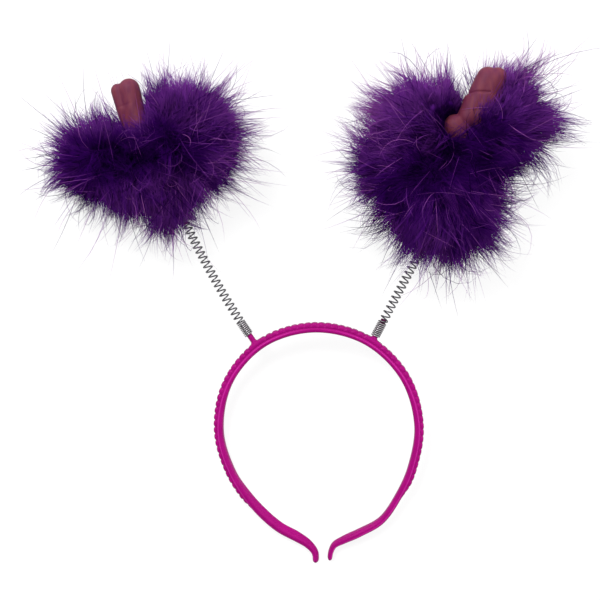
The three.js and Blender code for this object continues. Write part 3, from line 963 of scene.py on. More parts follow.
def topper(side):
    """Stem and lobes welded by a fine grid of voxels, melted together, and folded."""
    lobes = [lobe(*lobe_ends(side, row), row["radius"] * topper_radius) for row in topper_lobes[side]]
    whole = join_pieces("soft_topper_" + side, [stem(side), *lobes])
    welded = finished(
        whole,
        ("REMESH", {"mode": "VOXEL", "voxel_size": topper_voxel, "use_smooth_shade": True}),
        ("SMOOTH", {"factor": melt_share, "iterations": melt_rounds}),
    )
    return fold(side, welded)


toppers = {side: topper(side) for side in ("left", "right")}
for side, piece in toppers.items():
    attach(piece, "root")
    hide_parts("topper_" + side)
    print("Topper", side, "has", len(piece.data.polygons), "faces")

# %% [markdown]
# ## The outline of the fluff
#
# Down feather has no surface, only thousands of barbs that thin out into air. Still, the
# barbs bunch up in a few soft lobes, and those give the pompom its outline. Each lobe pulls
# on the space round it, strongest at its middle. The outline is where the pulls add up to one,
# seen from a point inside called the heart, so lobes run together without a crease.

# %% Lobes of a pompom and the outline round them
pom_span = {"left": 113.0, "right": 121.0}
pom_lobes = {
    "left": [
        {"centre": (-0.15, 0.22, 0), "radii": (0.32, 0.22, 0.25)},
        {"centre": (0.09, 0.44, 0.02), "radii": (0.26, 0.27, 0.25)},
        {"centre": (-0.46, 0.31, 0), "radii": (0.25, 0.2, 0.22)},
        {"centre": (-0.05, 0.0, 0), "radii": (0.08, 0.13, 0.1)},
        {"centre": (-0.12, 0.56, 0), "radii": (0.13, 0.12, 0.1)},
    ],
    "right": [
        {"centre": (0.01, 0.34, 0), "radii": (0.38, 0.25, 0.27)},
        {"centre": (-0.02, 0.61, 0), "radii": (0.23, 0.2, 0.23)},
        {"centre": (0.43, 0.57, 0.02), "radii": (0.22, 0.18, 0.19)},
        {"centre": (0.08, 0.13, -0.02), "radii": (0.29, 0.27, 0.27)},
        {"centre": (0.45, 0.72, 0), "radii": (0.13, 0.11, 0.12)},
    ],
}
pom_heart = {"left": (-0.12, 0.3, 0.0), "right": (0.07, 0.42, 0.0)}
lobe_softness = 2.4
farthest_share = 0.9


def pom_place(side, shares):
    """A place in a pompom, in mm, from shares of its span measured from the spring's end."""
    return spring_course(side)[-1] + np.array(shares) * pom_span[side]


def fullness(side, points):
    """How deep in the fluff points lie, and the way out. Each lobe adds the exponential of its
    softness times 1 minus the squared distance from its centre, in its radii. The sum is 1 on
    the outline, and falls fastest along the way out."""
    total = 0
    way_out = 0
    for row in pom_lobes[side]:
        radii = np.array(row["radii"]) * pom_span[side]
        offset = (points - pom_place(side, row["centre"])) / radii
        pull = np.exp(lobe_softness * (1 - np.sum(offset**2, -1)))
        total = total + pull
        way_out = way_out + pull[..., None] * offset / radii
    return total, unit(way_out)


def outline(side, directions, samples=90):
    """Distance from the heart to the outline along each direction: the farthest of some even
    steps at which the fullness is still over 1."""
    reach = np.linspace(0, farthest_share * pom_span[side], samples)
    heart = pom_place(side, pom_heart[side])
    inside = fullness(side, heart + reach[:, None, None] * directions)[0] > 1
    farthest = samples - 1 - np.argmax(inside[::-1], axis=0)
    return reach[farthest]


# %% [markdown]
# ## What presses the fluff aside
#
# Fluff gives way. The table pushes it up, the topper's head looks out of a pit in it, and
# between its lobes lie hollows that the eye reads as dark partings. Collisions could be
# simulated, but three rules that move points do the same: one bends them off the table, one
# sinks them behind the head, and one sinks them in the hollows.

# %% How near points are to the table, the head and the veil
veil_line = {
    "left": [(-1.2, -0.8), (1.2, -0.8)],
    "right": [
        (-1.6, -1.3), (-0.62, -1.4), (-0.29, -0.92), (-0.17, -0.57), (0.04, -0.23), (0.54, -0.21),
        (0.94, -0.07), (1.14, 0.19), (1.22, 0.65), (1.5, 1.3),
    ],
}


def above_table(points, lowest=0.25, softness=1.2):
    """Points over the table in metres, bent up where they would sink into it: the height
    becomes the softness times the logarithm of 1 plus the exponential of height by softness."""
    height = (points[..., 2] / mm - lowest) / softness
    lifted = softness * np.logaddexp(0, height) + lowest
    return np.concatenate([points[..., :2], lifted[..., None] * mm], -1)


def head_gap(side, points):
    """How far points are from a topper's head, as seen from the front. The nearest lobe
    counts, and the distance is below 0 where a point is over the head."""
    gaps = []
    for row in topper_lobes[side]:
        foot, top = lobe_ends(side, row)
        span = top - foot
        share = np.clip(np.sum((points - foot) * span, -1) / np.sum(span**2), 0, 1)
        nearest = foot + share[..., None] * span
        gaps.append(np.linalg.norm((points - nearest)[..., :2], axis=-1) - row["radius"] * topper_radius)
    return np.min(gaps, axis=0)


def over_veil(side, points):
    """How far points are past the veil line, the edge up to which fluff hides the topper."""
    return past_line(points, head_places(side, veil_line[side]))


# %% A pit for the head, and hollows
pit_slope = 2.5
pit_margin = 1.0
pit_ramp = 3.0
hollow_rise = (0, 10)
hollows = {
    "left": [
        {"centre": (-0.06, 0.24, 0), "radius": 0.09, "depth": 0.13},
        {"centre": (-0.28, 0.3, 0), "radius": 0.06, "depth": 0.08},
        {"centre": (0.1, 0.26, 0), "radius": 0.06, "depth": 0.07},
    ],
    "right": [
        {"centre": (0.07, 0.4, 0), "radius": 0.09, "depth": 0.12},
        {"centre": (0.24, 0.56, 0), "radius": 0.07, "depth": 0.1},
        {"centre": (0.1, 0.2, 0), "radius": 0.07, "depth": 0.06},
    ],
}


def with_pit(side, points):
    """Points sunk where they would cover the topper's head. The pit's floor lies behind the
    head. It climbs by the pit's slope with the distance from the head, and by the pit's ramp
    with the distance below the veil line."""
    floor = -topper_radius
    beside = pit_slope * np.maximum(0, head_gap(side, points) - pit_margin)
    below = pit_ramp * np.maximum(0, -over_veil(side, points))
    sunk_to = np.minimum(points[..., 2], floor + beside + below)
    return np.concatenate([points[..., :2], sunk_to[..., None]], -1)


def sunk(side, points):
    """Points of the front sunk in the hollows too, by the depth of each hollow times the
    exponential of minus the squared distance from its middle, in its radii."""
    size = pom_span[side]
    sink = 0
    for row in hollows[side]:
        offset = (points - pom_place(side, row["centre"]))[..., :2] / (row["radius"] * size)
        sink = sink + row["depth"] * size * np.exp(-np.sum(offset**2, -1))
    sink = sink * smooth_step(points[..., 2], *hollow_rise)
    return with_pit(side, points - sink[..., None] * frontward)


# %% [markdown]
# ## A dark core
#
# Between the barbs nobody should see through to the table. A real pompom is densest at its
# heart, where the feathers are bound to the spring. A smaller copy of the outline, soft and
# coloured with the painted shade of the barbs' roots, plays that part. The barbs are rooted in it.

# %% Core of a pompom
core_depth = np.array([8.5, 8.5, 15.0])
least_share = 0.35
core_rows = 48
core_sides = 96


def inside_by(reach, depth):
    """The reach less a depth in mm, but never less than a small share of the reach."""
    return np.maximum(least_share * reach, reach - depth)


def core_grid(side):
    """Points of the core by latitude and longitude: the heart plus the outline's distance in
    that direction, less the depth of the fluff, which is greater at the front and back."""
    latitude = np.radians(np.linspace(-90, 90, core_rows + 2))[:, None]
    longitude = np.radians(np.linspace(0, 360, core_sides, endpoint=False))[None]
    directions = np.stack(np.broadcast_arrays(
        np.cos(latitude) * np.cos(longitude), np.cos(latitude) * np.sin(longitude), np.sin(latitude)), -1)
    reach = outline(side, directions.reshape(-1, 3)).reshape(core_rows + 2, core_sides)
    return sunk(side, pom_place(side, pom_heart[side]) + inside_by(reach[..., None], core_depth) * directions)


def core_arrays(side):
    """Points and faces of the core, closed by a pole at the front and one at the back."""
    grid = core_grid(side)
    points = np.concatenate([grid[:1, 0], grid[1:-1].reshape(-1, 3), grid[-1:, 0]])
    quads, triangles = skin_faces(core_rows, core_sides)
    return points, quads, triangles


# %% [markdown]
# ## Barbs
#
# A barb is a fine hair, so it is a three-sided tube that narrows to a point. There are tens of
# thousands, and hair particles would be the usual way to grow them. But a particle system is
# not a mesh, and this model is also wanted as plain meshes. So the barbs are grown as arrays:
# one lock is a bunch of barbs whose tips draw together, and a recipe says how many locks there
# are, how long, how loose and how curly. The table has a column for each recipe: fine down
# close to the core, plumes over it, pale flyaways, dark hairs, and wisps and tufts that are
# placed one by one. Fluff of another kind would be one more column.

# %% Recipes for the fluff
recipe_names = ("down", "plumes", "flyaways", "hairs", "wisps", "tuft")
recipe_table = {
    # how many locks, how many barbs in each, the rings along a barb, and its width in mm
    "locks": (3700, 500, 380, 270, 5, 4),
    "barbs": (5, 20, 1, 1, 12, 26),
    "rings": (3, 4, 7, 6, 10, 5),
    "width": (0.3, 0.36, 0.32, 0.36, 0.34, 0.34),
    # how deep under the outline a lock is rooted, how long it is, and how much that varies
    "depth": (12.0, 13.0, 6.0, 6.0, 8.0, 13.0),
    "length": (15.0, 28.0, 34.0, 35.0, 36.0, 25.0),
    "spread": (0.42, 0.35, 0.5, 0.45, 0.3, 0.2),
    # the shortest barb as a share of its lock's length, and the power that makes long ones few
    "shortest": (0.5, 0.45, 0.6, 0.6, 0.5, 0.5),
    "thinning": (1.5, 1.7, 1.0, 1.0, 1.0, 1.2),
    # the lock's radius at its root in mm, and how much its tips draw together
    "bunch": (2.4, 4.2, 1.0, 1.0, 3.5, 4.5),
    "gather": ((0.0, 0.5), (0.7, 1.3), (0.0, 0.0), (0.0, 0.0), (0.0, 0.3), (1.0, 1.4)),
    # how much it is combed from the parting, strays by chance, drifts with others, and bends
    "comb": (1.3, 1.7, 1.2, 1.2, 1.0, 0.6),
    "stray": (0.26, 0.16, 0.7, 0.5, 0.3, 0.1),
    "drift": (0.45, 0.7, 0.3, 0.5, 0.2, 0.15),
    "bend": (0.6, 1.0, 1.3, 1.5, 1.2, 0.5),
    # the power by which a barb tapers, and the share of locks left out underneath
    "taper": (2.2, 2.0, 2.2, 2.6, 1.5, 1.8),
    "hidden": (0.7, 0.9, 0.9, 0.9, 0.0, 0.3),
    # from the darkest tone to the palest, and how narrowly a placed lock keeps to its side
    "tones": ((0.0, 1.0), (0.0, 1.0), (0.6, 4.0), (-1.8, -0.2), (0.6, 1.4), (0.0, 1.0)),
    "narrow": (0.0, 0.0, 0.0, 0.0, 40.0, 150.0),
}
recipes = {
    name: {key: column[number] for key, column in recipe_table.items()}
    for number, name in enumerate(recipe_names)
}
for name, recipe in recipes.items():
    print(name, "has", recipe["locks"], "locks of", recipe["barbs"], "barbs")

# %% [markdown]
# ## Where locks grow
#
# Directions drawn by chance crowd together where the outline is near the heart, and leave
# bald places where it is far. So many more are drawn than are wanted, and each is kept with
# a chance that follows how much of the outline it stands for.

# %% Directions from the heart
tries_per_lock = 8
fewest_tries = 2000
least_slant = 0.3
under_span = (0, 0.6)


def even_directions(side, recipe, rng):
    """Random directions from the heart that spread evenly over the outline. Each of many is
    kept with a chance that follows the outline's area there, which is the distance squared
    over the cosine between the direction and the way out. Few grow underneath, where the table
    hides them, and wisps keep to one side."""
    count = recipe["locks"]
    tries = unit(rng.normal(size=(max(tries_per_lock * count, fewest_tries), 3)))
    reach = outline(side, tries)
    heart = pom_place(side, pom_heart[side])
    way_out = fullness(side, heart + reach[:, None] * tries)[1]
    slant = np.maximum(least_slant, np.sum(way_out * tries, -1))
    chance = reach**2 / slant * (1 - recipe["hidden"] * smooth_step(-tries[:, 2], *under_span))
    if "toward" in recipe:
        chance = chance * np.exp(recipe["narrow"] * (tries @ unit(np.array(recipe["toward"])) - 1))
    order = np.argsort(rng.random(len(tries)) ** (1 / chance))[::-1][:count]
    return tries[order], reach[order], way_out[order]


# %% [markdown]
# ## The way a lock takes
#
# Real down is neither combed nor random. A lock leaves by a mix of four things: the way out,
# the way it falls from the parting, a push that it shares with its neighbours, and chance. Each
# lock and each barb is then a plain arc of a circle, which costs little and still looks curly.

# %% Arcs, drift and parting
any_way = np.array([0.31, 0.17, 0.93])
parting = {"left": [(-0.38, 0.3), (-0.04, 0.36)], "right": [(0.05, 0.35), (0.19, 0.49)]}


def square_pair(ways):
    """Two unit directions square to each way, and square to each other. The first is also
    square to a fixed direction, which may be any that barbs rarely take."""
    first = unit(np.cross(ways, any_way))
    return first, np.cross(ways, first)


def square_way(ways, rng):
    """A random unit direction square to each way."""
    first, second = square_pair(ways)
    turn = rng.uniform(0, 2 * np.pi, (*ways.shape[:-1], 1))
    return np.cos(turn) * first + np.sin(turn) * second


def drift_field(rng, waves=7, shortest=20.0, longest=60.0):
    """A function that gives places a push which neighbours share: a sum of sines of the place
    along random waves, so locks lean together here and part there."""
    wave_length = rng.uniform(shortest, longest, (waves, 1))
    wave_number = 2 * np.pi / wave_length * unit(rng.normal(size=(waves, 3)))
    phase = rng.uniform(0, 2 * np.pi, waves)
    push = rng.normal(size=(waves, 3)) / math.sqrt(waves / 2)
    return lambda points: np.sin(points @ wave_number.T + phase) @ push


def arcs(starts, ways, sides, lengths, bends, rings):
    """Points along arcs of circles, one arc for each start. An arc sets out along its way and
    turns to its side by its bend in radians: after a share of its length it has gone the sine
    of that share of the bend along the way, and 1 minus the cosine along the side, both times
    the length over the bend."""
    turned = bends[..., None] * np.linspace(0, 1, rings)
    radius = (lengths / bends)[..., None]
    forward = (radius * np.sin(turned))[..., None] * ways[..., None, :]
    sideways = (radius * (1 - np.cos(turned)))[..., None] * sides[..., None, :]
    return starts[..., None, :] + forward + sideways


def from_parting(side, points):
    """The way from the parting, a short line that the fluff falls away from, to each point, as
    seen from the front."""
    start, end = (pom_place(side, (*shares, 0)) for shares in parting[side])
    span = end - start
    share = np.clip((points - start) @ span / (span @ span), 0, 1)
    return (points - start - share[..., None] * span) * [1, 1, 0]


# %% The barbs of a lock
combed_span = (2, 16)
fanning = 0.15
own_stray = 0.5
own_bend = 0.5
own_lean = 0.4
gather_power = 1.3


def barb_lines(side, recipe, rng):
    """Middle lines of all barbs, by lock, barb and ring, in mm. A lock leaves the core along a
    mix of the way out, the way away from the parting, the shared drift and chance. Few of its
    barbs are long, so it thins out. A barb runs beside its lock, and is drawn to it more the
    farther out it gets, so the lock comes to a point."""
    locks, barbs, rings = recipe["locks"], recipe["barbs"], recipe["rings"]
    directions, reach, way_out = even_directions(side, recipe, rng)
    heart = pom_place(side, pom_heart[side])
    roots = sunk(side, heart + directions * inside_by(reach, recipe["depth"])[:, None])
    flat = from_parting(side, roots)
    combed = recipe["comb"] * smooth_step(np.linalg.norm(flat, axis=1), *combed_span)[:, None]
    aim = unit(way_out + combed * unit(flat) + recipe["drift"] * drift_field(rng)(roots)
               + recipe["stray"] * rng.normal(size=(locks, 3)))
    lengths = recipe["length"] * (1 + recipe["spread"] * rng.uniform(-1, 1, locks))
    bends = recipe["bend"] * rng.normal(size=locks)
    lean = square_way(aim, rng)
    first, second = square_pair(aim)
    turn = rng.uniform(0, 2 * np.pi, (locks, barbs, 1))
    off = np.sqrt(rng.random((locks, barbs, 1)))
    beside = off * (np.cos(turn) * first[:, None] + np.sin(turn) * second[:, None])
    ways = unit(aim[:, None] + fanning * beside
                + own_stray * recipe["stray"] * rng.normal(size=(locks, barbs, 3)))
    chance = rng.random((locks, barbs)) ** recipe["thinning"]
    own_share = recipe["shortest"] + (1 - recipe["shortest"]) * chance
    own_lengths = lengths[:, None] * own_share
    own_bends = own_share * (bends[:, None] + own_bend * recipe["bend"] * rng.normal(size=(locks, barbs)))
    leans = unit(lean[:, None] + own_lean * rng.normal(size=(locks, barbs, 3)))
    starts = roots[:, None] + recipe["bunch"] * beside
    own_lines = arcs(starts, ways, leans, own_lengths, own_bends, rings)
    lock_bends = own_share * bends[:, None]
    lock_lines = arcs(roots[:, None], aim[:, None], lean[:, None], own_lengths, lock_bends, rings)
    gather = rng.uniform(*recipe["gather"], (locks, 1, 1, 1))
    far_out = own_share[..., None, None] * np.linspace(0, 1, rings)[:, None]
    return own_lines + (lock_lines - own_lines) * np.minimum(1, gather * far_out**gather_power)


# %% [markdown]
# ## Fluff parts before the topper
#
# On the real thing the fluff is pushed back round the topper, so that it looks out. The edge
# is not a clean line: barbs end short of it by different amounts, and a few still cross. So
# each barb has a limit of its own for how far it may reach over the head, and one that goes
# too far is cropped instead of moved, because moved barbs would pile up as a rim.

# %% Room for the topper to show
veil_depth = {"left": 15.0, "right": 7.0}
veil_power = 1.3
crossing_share = 0.04
head_margin = 0.6
crops = 2
reach_past_cad = np.array([15, 15, 8]) * mm


def clear_of_topper(side, lines, veil):
    """Which barbs leave the topper's head in view. A barb goes if one of its outer points is in
    front of the head and farther past the veil line than the barb's own limit."""
    outer = lines[:, 1:]
    in_front = (head_gap(side, outer) < head_margin) & (outer[..., 2] > -topper_radius)
    return ~np.any(in_front & (over_veil(side, outer) > veil[:, None]), axis=1)


def cropped_round_topper(side, lines, rng):
    """Barbs that would hide the head are cropped to half their length, and to a quarter if half
    still hides it. If a quarter does too, the barb is left out. A few cross the head freely."""
    crosses_freely = rng.random(len(lines)) < crossing_share
    veil = np.where(crosses_freely, np.inf, veil_depth[side] * rng.random(len(lines)) ** veil_power)
    for _ in range(crops):
        clear = clear_of_topper(side, lines, veil)
        cropped = lines[:, :1] + (lines - lines[:, :1]) / 2
        lines = np.where(clear[:, None, None], lines, cropped)
    return lines, clear_of_topper(side, lines, veil)


def within_reach(lines):
    """Which barbs stay near enough to the CAD box, apart from its underside."""
    places = on_table(lines)
    above_low = places[..., :2] > np.array(cad_low)[:2] - reach_past_cad[:2]
    below_high = places < np.array(cad_high) + reach_past_cad
    return np.all(above_low, axis=(1, 2)) & np.all(below_high, axis=(1, 2))


# %% [markdown]
# ## Barbs as fine tubes
#
# A barb needs three sides at most, because it is thinner than a pixel. The same faces serve
# for every barb of a recipe: the numbers of one barb's points are shifted for each, so even
# tens of thousands of barbs are a few additions of whole arrays.

# %% Tubes round the barbs' lines


def tube_arrays(lines, width, taper):
    """Points and faces of all barbs, over the table in metres. A barb has three points round
    each ring but the last, which is its tip. Its radius is half the width times 1 minus the
    share of the length to a power."""
    count, rings = lines.shape[:2]
    centres = above_table(on_table(lines))
    first, second = square_pair(unit(np.gradient(centres, axis=1)))
    turn = (2 * np.pi * np.arange(3) / 3)[:, None]
    circle = first[:, :, None] * np.cos(turn) + second[:, :, None] * np.sin(turn)
    share = np.linspace(0, 1, rings)
    radius = width / 2 * mm * (1 - share**taper)
    tubes = centres[:, :-1, None] + radius[:-1, None, None] * circle[:, :-1]
    points = np.concatenate([tubes.reshape(count, -1, 3), centres[:, -1:]], 1)
    row, side = np.meshgrid(np.arange(rings - 2), np.arange(3), indexing="ij")
    low, beside = 3 * row, (side + 1) % 3
    quads = np.stack([low + side, low + beside, low + 3 + beside, low + 3 + side], -1).reshape(-1, 4)
    last = 3 * (rings - 2)
    tip = 3 * (rings - 1)
    ends = np.array([[2, 1, 0], [last, last + 1, tip], [last + 1, last + 2, tip], [last + 2, last, tip]])
    start = np.arange(count)[:, None, None] * (tip + 1)
    along = np.concatenate([np.repeat(share[:-1], 3), [1.0]])
    return points.reshape(-1, 3), (quads + start).reshape(-1, 4), (ends + start).reshape(-1, 3), along


# %% [markdown]
# ## What a barb knows about itself
#
# Dye and the painted light and shade follow the barb and not the space round it. So each point keeps three
# numbers for the finish: its share of the way to the tip, a tone that it mostly shares with
# its lock, and how far it is from the parting.

# %% Sets of barbs, the core, and one mesh from both
# Paleness painted on the fluff: away from the parting it is painted paler, and upwards more so, as lit from
# above.
pale_at = {"left": 43.0, "right": 69.0}
painted_top_light = {"left": 0.35, "right": 1.7}
lock_tone_share = 0.75
core_lift = 0.6
# The core takes the colour near the barbs' roots, where the darkest shade is painted.
core_along = 0.1
core_tone = 0.5


def outward_share(side, points):
    """How far points are from the parting, as a share of the distance at which the fluff is painted
    pale. Upwards, where light falls from above, that distance is shorter, so the top is painted paler."""
    away = from_parting(side, points)
    upwards = painted_top_light[side] * np.maximum(0, away[..., 1])
    return (np.linalg.norm(away, axis=-1) + upwards) / pale_at[side]


def barb_set(side, recipe, rng):
    """All barbs of one recipe as arrays: points, quads, triangles, and for each point its share
    of the way along the barb, a tone that is part the lock's and part the barb's own, and how
    far out it is."""
    by_lock = barb_lines(side, recipe, rng)
    locks, barbs = by_lock.shape[:2]
    low_tone, high_tone = recipe["tones"]
    by_lock_chance = lock_tone_share * rng.random((locks, 1))
    own_chance = (1 - lock_tone_share) * rng.random((locks, barbs))
    tone = low_tone + (high_tone - low_tone) * (by_lock_chance + own_chance)
    lines, clear = cropped_round_topper(side, by_lock.reshape(locks * barbs, recipe["rings"], 3), rng)
    kept = clear & within_reach(lines)
    lines = lines[kept]
    points, quads, triangles, along = tube_arrays(lines, recipe["width"], recipe["taper"])
    tones = np.repeat(tone.reshape(-1)[kept], len(along))
    outward = outward_share(side, lines)
    by_point = np.concatenate([np.repeat(outward[:, :-1], 3, axis=1), outward[:, -1:]], 1)
    return points, quads, triangles, np.tile(along, len(lines)), tones, by_point.reshape(-1)


def core_set(side):
    """The core as arrays, like a set of barbs, at the root of the colours, where shade is painted darkest."""
    points, quads, triangles = core_arrays(side)
    placed = above_table(on_table(points), lowest=core_lift)
    along, tone = np.full((2, len(points)), [[core_along], [core_tone]])
    return placed, quads, triangles, along, tone, outward_share(side, points)


# %% One mesh from several sets


def fluff_piece(name, sets):
    """One mesh from several sets, with the values of each point kept as attributes that the
    finish reads: along, from root to tip, tone, and outward, from the parting."""
    points, quads, triangles, along, tone, outward = zip(*sets)
    first = np.cumsum([0] + [len(part) for part in points[:-1]])
    all_quads = np.concatenate([part + start for part, start in zip(quads, first)])
    all_triangles = np.concatenate([part + start for part, start in zip(triangles, first)])
    piece = new_piece(name, np.concatenate(points), all_quads, all_triangles)
    store(piece, "along", "FLOAT", np.concatenate(along))
    store(piece, "tone", "FLOAT", np.concatenate(tone))
    store(piece, "outward", "FLOAT", np.concatenate(outward))
    print(name, "has", 2 * len(all_quads) + len(all_triangles), "triangles")
    return piece


# %% [markdown]
# ## Both pompoms
#
# Each pompom is grown from its own seed, so it comes out the same every time. Down and core
# make one piece. The second piece has what the eye picks out one by one: plumes, pale
# flyaways, a few dark hairs, and the tufts and wisps that are placed where the outline of the
# real one has them.

# %% Grow both pompoms
seeds = {"left": 11, "right": 23}
own_plumes = {"left": {}, "right": {"length": 31.0}}
tuft_places = {
    "left": [(0.3, -0.2), (0.08, -0.4), (-0.32, 0.27), (0.06, 0.4), (-0.6, 0.08)],
    "right": [(0.12, 0.32), (0.57, 0.1), (0.25, -0.5), (-0.45, -0.03), (0.4, -0.1)],
}
wisp_places = {
    "left": [
        {"toward": (-0.5, 0.85, 0), "bend": 0.9},
        {"toward": (0.9, 0.1, 0), "bend": 0.7},
    ],
    "right": [
        {"toward": (0.62, -0.78, 0), "bend": 2.2},
        {"toward": (0.27, -0.96, 0), "bend": 1.2, "length": 31.0},
        {"toward": (-1.0, 0.1, 0), "bend": 0.5},
    ],
}
fluff = {}
for side, seed in seeds.items():
    rng = np.random.default_rng(seed)
    down = fluff_piece("pom_down_" + side, [core_set(side), barb_set(side, recipes["down"], rng)])
    plume = {**recipes["plumes"], **own_plumes[side]}
    tufts = [{**recipes["tuft"], "toward": (*toward, 0)} for toward in tuft_places[side]]
    wisps = [{**recipes["wisps"], **place} for place in wisp_places[side]]
    long_recipes = [plume, recipes["flyaways"], *tufts, *wisps, recipes["hairs"]]
    plumes = fluff_piece("pom_plumes_" + side, [barb_set(side, recipe, rng) for recipe in long_recipes])
    fluff[side] = (down, plumes)
    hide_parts("pom_" + side)
    for piece in fluff[side]:
        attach(piece, "root")

# %% [markdown]
# ## Colours as the eye counts them
#
# Screens count a colour in 256 steps that follow the eye, and a renderer counts light. The
# difference is a power of about 2.4. Each finish below names its colours on the eye's scale.

# %% From the eye's scale to light
eye_power = 2.4
eye_offset = 0.055
straight_end = 0.04045
straight_slope = 12.92

# A Mix node has inputs and outputs of the same name for numbers, vectors and colours. These
# are the numbers of the ones for colours: the factor, A and B, and the result.
mix_inputs = (0, 6, 7)
mix_output = 2


def linear(red, green, blue):
    """A colour as the eye's scale of 0 to 255 gives it, on the scale of light: a power of the
    share plus an offset, with a short straight start below."""
    share = np.array([red, green, blue]) / 255
    curved = ((share + eye_offset) / (1 + eye_offset)) ** eye_power
    light = np.where(share <= straight_end, share / straight_slope, curved)
    return (*light.tolist(), 1)


def blend(tree, share, first, second):
    """The output of a node that goes from a first colour to a second by a share."""
    inputs = dict(zip(mix_inputs, (share, first, second)))
    return add_node(tree, "Mix", inputs, data_type="RGBA").outputs[mix_output]


def stored(tree, name, output="Fac"):
    """The values that a piece keeps at its points under a name."""
    return add_node(tree, "Attribute", attribute_name=name).outputs[output]


# %% [markdown]
# ## One group for moulded plastic
#
# No moulding is even: the melt carries its pigment in faint clouds, and the skin of the part
# has a grain that only shows where light glances off it. The band and the toppers share this
# as a node group. It gives a cloud value to mix colours by, and a normal with the grain.

# %% The moulded group


def new_group(name, inputs, outputs):
    """A shader node group with the inputs and outputs named, and its two end nodes."""
    group = bpy.data.node_groups.new(name, "ShaderNodeTree")
    for socket, kind in inputs.items():
        group.interface.new_socket(socket, in_out="INPUT", socket_type="NodeSocket" + kind)
    for socket, kind in outputs.items():
        group.interface.new_socket(socket, in_out="OUTPUT", socket_type="NodeSocket" + kind)
    return group, group.nodes.new("NodeGroupInput"), group.nodes.new("NodeGroupOutput")


def use_group(tree, group, inputs):
    """A node that runs a group in a tree, with its inputs filled."""
    user = add_node(tree, "Group", node_tree=group)
    for name, value in inputs.items():
        user.inputs[name].default_value = value
    return user


moulded, given, result = new_group(
    "moulded_skin",
    {"Stretch": "Vector", "Cloud Scale": "Float", "Grain Scale": "Float", "Grain Height": "Float"},
    {"Cloud": "Float", "Normal": "Vector"},
)
place = add_node(moulded, "TexCoord").outputs["Object"]
drawn_out = add_node(moulded, "VectorMath", {0: place, 1: given.outputs["Stretch"]}, operation="MULTIPLY")
cloud = add_node(moulded, "TexNoise", {
    "Vector": drawn_out.outputs["Vector"], "Scale": given.outputs["Cloud Scale"], "Detail": 3.0})
stretched = add_node(moulded, "MapRange", {"Value": cloud.outputs["Fac"], "From Min": 0.3, "From Max": 0.7})
grain = add_node(moulded, "TexNoise", {"Vector": place, "Scale": given.outputs["Grain Scale"], "Detail": 2.0})
bump = add_node(moulded, "Bump", {
    "Height": grain.outputs["Fac"], "Distance": given.outputs["Grain Height"], "Strength": 1.0})
moulded.links.new(stretched.outputs["Result"], result.inputs["Cloud"])
moulded.links.new(bump.outputs["Normal"], result.inputs["Normal"])

# %% [markdown]
# ## Magenta band
#
# Polystyrene straight from a polished mould has full colour and a soft sheen. Along the crest
# of the rail a highlight is painted as paler magenta, and where a spring grips its peg a shade
# is painted nearly black. The band's points carry how near they are to the crest
# and whether a spring holds them.

# %% Band finish
band_finish, tree, shader = new_finish("magenta_moulding", Roughness=0.38, Specular_IOR_Level=0.04)
skin = use_group(tree, moulded, {
    "Stretch": (1.0, 1.0, 1.0), "Cloud Scale": 90.0, "Grain Scale": 900.0, "Grain Height": 0.00004})
colour = blend(tree, skin.outputs["Cloud"], linear(122, 4, 87), linear(132, 7, 95))
# Painted highlight, paler magenta, along the crest of the rail.
highlighted = blend(tree, stored(tree, "painted_highlight"), colour, linear(156, 30, 120))
# Painted shade, nearly black, on the pegs under the springs' close turns.
spring_shaded = blend(tree, stored(tree, "painted_spring_shade"), highlighted, linear(62, 14, 48))
tree.links.new(spring_shaded, shader.inputs["Base Color"])
tree.links.new(skin.outputs["Normal"], shader.inputs["Normal"])
band.data.materials.append(band_finish)

# %% [markdown]
# ## Soft topper
#
# Plasticised vinyl takes a satin skin. Its pigment was only half stirred in, so it runs in
# streaks up the topper, and its grain is coarser than that of a hard moulding.

# %% Topper finish
topper_finish, tree, shader = new_finish("soft_vinyl", Roughness=0.6, Specular_IOR_Level=0.16)
skin = use_group(tree, moulded, {
    "Stretch": (1.0, 0.3, 1.0), "Cloud Scale": 330.0, "Grain Scale": 1400.0, "Grain Height": 0.00008})
colour = blend(tree, skin.outputs["Cloud"], linear(74, 20, 48), linear(92, 36, 48))
tree.links.new(colour, shader.inputs["Base Color"])
tree.links.new(skin.outputs["Normal"], shader.inputs["Normal"])
for piece in toppers.values():
    piece.data.materials.append(topper_finish)

# %% [markdown]
# ## Spring wire
#
# Hard-drawn wire is pulled through a die, which leaves fine streaks along it, and it darkens
# with time. The close turns on the peg are painted brighter, a painted reflection of the light
# that their packed turns catch. The streaks follow the wire round every turn, so they can't come
# from the object's own axes.
# They come from the place on the wire that the spring function stored, squeezed along the
# wire so that a speck of noise becomes a long streak.

# %% Wire finish
streak_stretch = (1.0, 1.0, 0.06)

wire_finish, tree, shader = new_finish("spring_wire", Metallic=1.0)
squeezed = add_node(tree, "VectorMath", {
    0: stored(tree, "on_wire", "Vector"), 1: streak_stretch}, operation="MULTIPLY")
noise = add_node(tree, "TexNoise", {"Vector": squeezed.outputs["Vector"], "Scale": 3.0, "Detail": 3.0})
streak = noise.outputs["Fac"]
dark_wire = blend(tree, streak, linear(56, 55, 60), linear(98, 96, 100))
# Painted reflection: the close turns on the peg are painted this brighter grey.
highlighted_wire = blend(tree, streak, linear(76, 72, 78), linear(172, 170, 172))
wire_colour = blend(tree, stored(tree, "painted_highlight"), dark_wire, highlighted_wire)
tree.links.new(wire_colour, shader.inputs["Base Color"])
gloss = add_node(tree, "MapRange", {"Value": streak, "To Min": 0.2, "To Max": 0.4})
tree.links.new(gloss.outputs["Result"], shader.inputs["Roughness"])
for wire in springs.values():
    wire.data.materials.append(wire_finish)

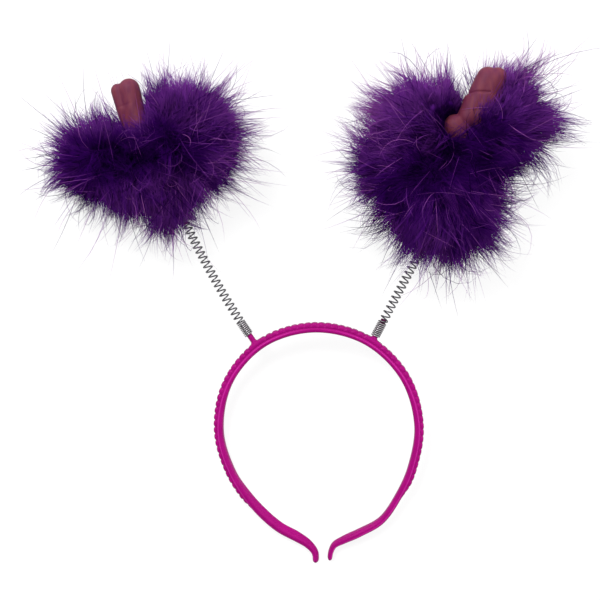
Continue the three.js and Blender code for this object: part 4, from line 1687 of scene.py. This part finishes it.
# %% [markdown]
# ## Dyed down, with painted light and shade
#
# A barb is painted darkest at its root, as shade among the dense barbs, and paler towards its
# tip, as light that shines through it. The whole pompom is painted paler from its parting outwards,
# away from the shade of its deep middle, and paler still upwards, where light falls from above. Locks
# take the dye unevenly too. Every point of the fluff knows these three things about itself,
# and the group adds them up to one share of paleness, with soft patches on top.

# %% The group of dye and painted light, and the fluff's finish
dye_and_light, given, result = new_group(
    "dye_and_painted_light",
    {"From Parting": "Float", "From Root": "Float", "From Tone": "Float", "From Patches": "Float"},
    {"Color": "Color"},
)
place = add_node(dye_and_light, "TexCoord").outputs["Object"]
patch = add_node(dye_and_light, "TexNoise", {"Vector": place, "Scale": 45.0, "Detail": 2.0}).outputs["Fac"]
patchy = add_node(dye_and_light, "MapRange", {"Value": patch, "From Min": 0.3, "From Max": 0.7, "To Min": -1.0})
paleness = add_node(dye_and_light, "Math", {
    0: patchy.outputs["Result"], 1: given.outputs["From Patches"]}, operation="MULTIPLY").outputs["Value"]
# The parting and root terms paint light and shade; the tone term is the locks' uneven dye.
for attribute, weight in (("outward", "From Parting"), ("along", "From Root"), ("tone", "From Tone")):
    paleness = add_node(dye_and_light, "Math", {
        0: stored(dye_and_light, attribute), 1: given.outputs[weight], 2: paleness},
        operation="MULTIPLY_ADD").outputs["Value"]
to_body = add_node(dye_and_light, "MapRange", {"Value": paleness, "From Max": 0.5}).outputs["Result"]
to_tip = add_node(dye_and_light, "MapRange", {"Value": paleness, "From Min": 0.5}).outputs["Result"]
to_loose = add_node(dye_and_light, "MapRange", {"Value": paleness, "From Min": 1.0, "From Max": 1.5}).outputs["Result"]
# From the deepest painted shade to the body colour, then to the painted pale of the tips, and on to the pale
# of loose barbs.
deep = blend(dye_and_light, to_body, linear(12, 0, 32), linear(44, 4, 78))
pale = blend(dye_and_light, to_tip, deep, linear(92, 38, 118))
dye_and_light.links.new(blend(dye_and_light, to_loose, pale, linear(128, 68, 138)), result.inputs["Color"])

fluff_finish, tree, shader = new_finish("dyed_down_painted_light", Roughness=0.75, Specular_IOR_Level=0.0)
dye_and_light_user = use_group(tree, dye_and_light, {"From Parting": 0.5, "From Root": 0.3, "From Tone": 0.28, "From Patches": 0.18})
tree.links.new(dye_and_light_user.outputs["Color"], shader.inputs["Base Color"])
for pair in fluff.values():
    for piece in pair:
        piece.data.materials.append(fluff_finish)
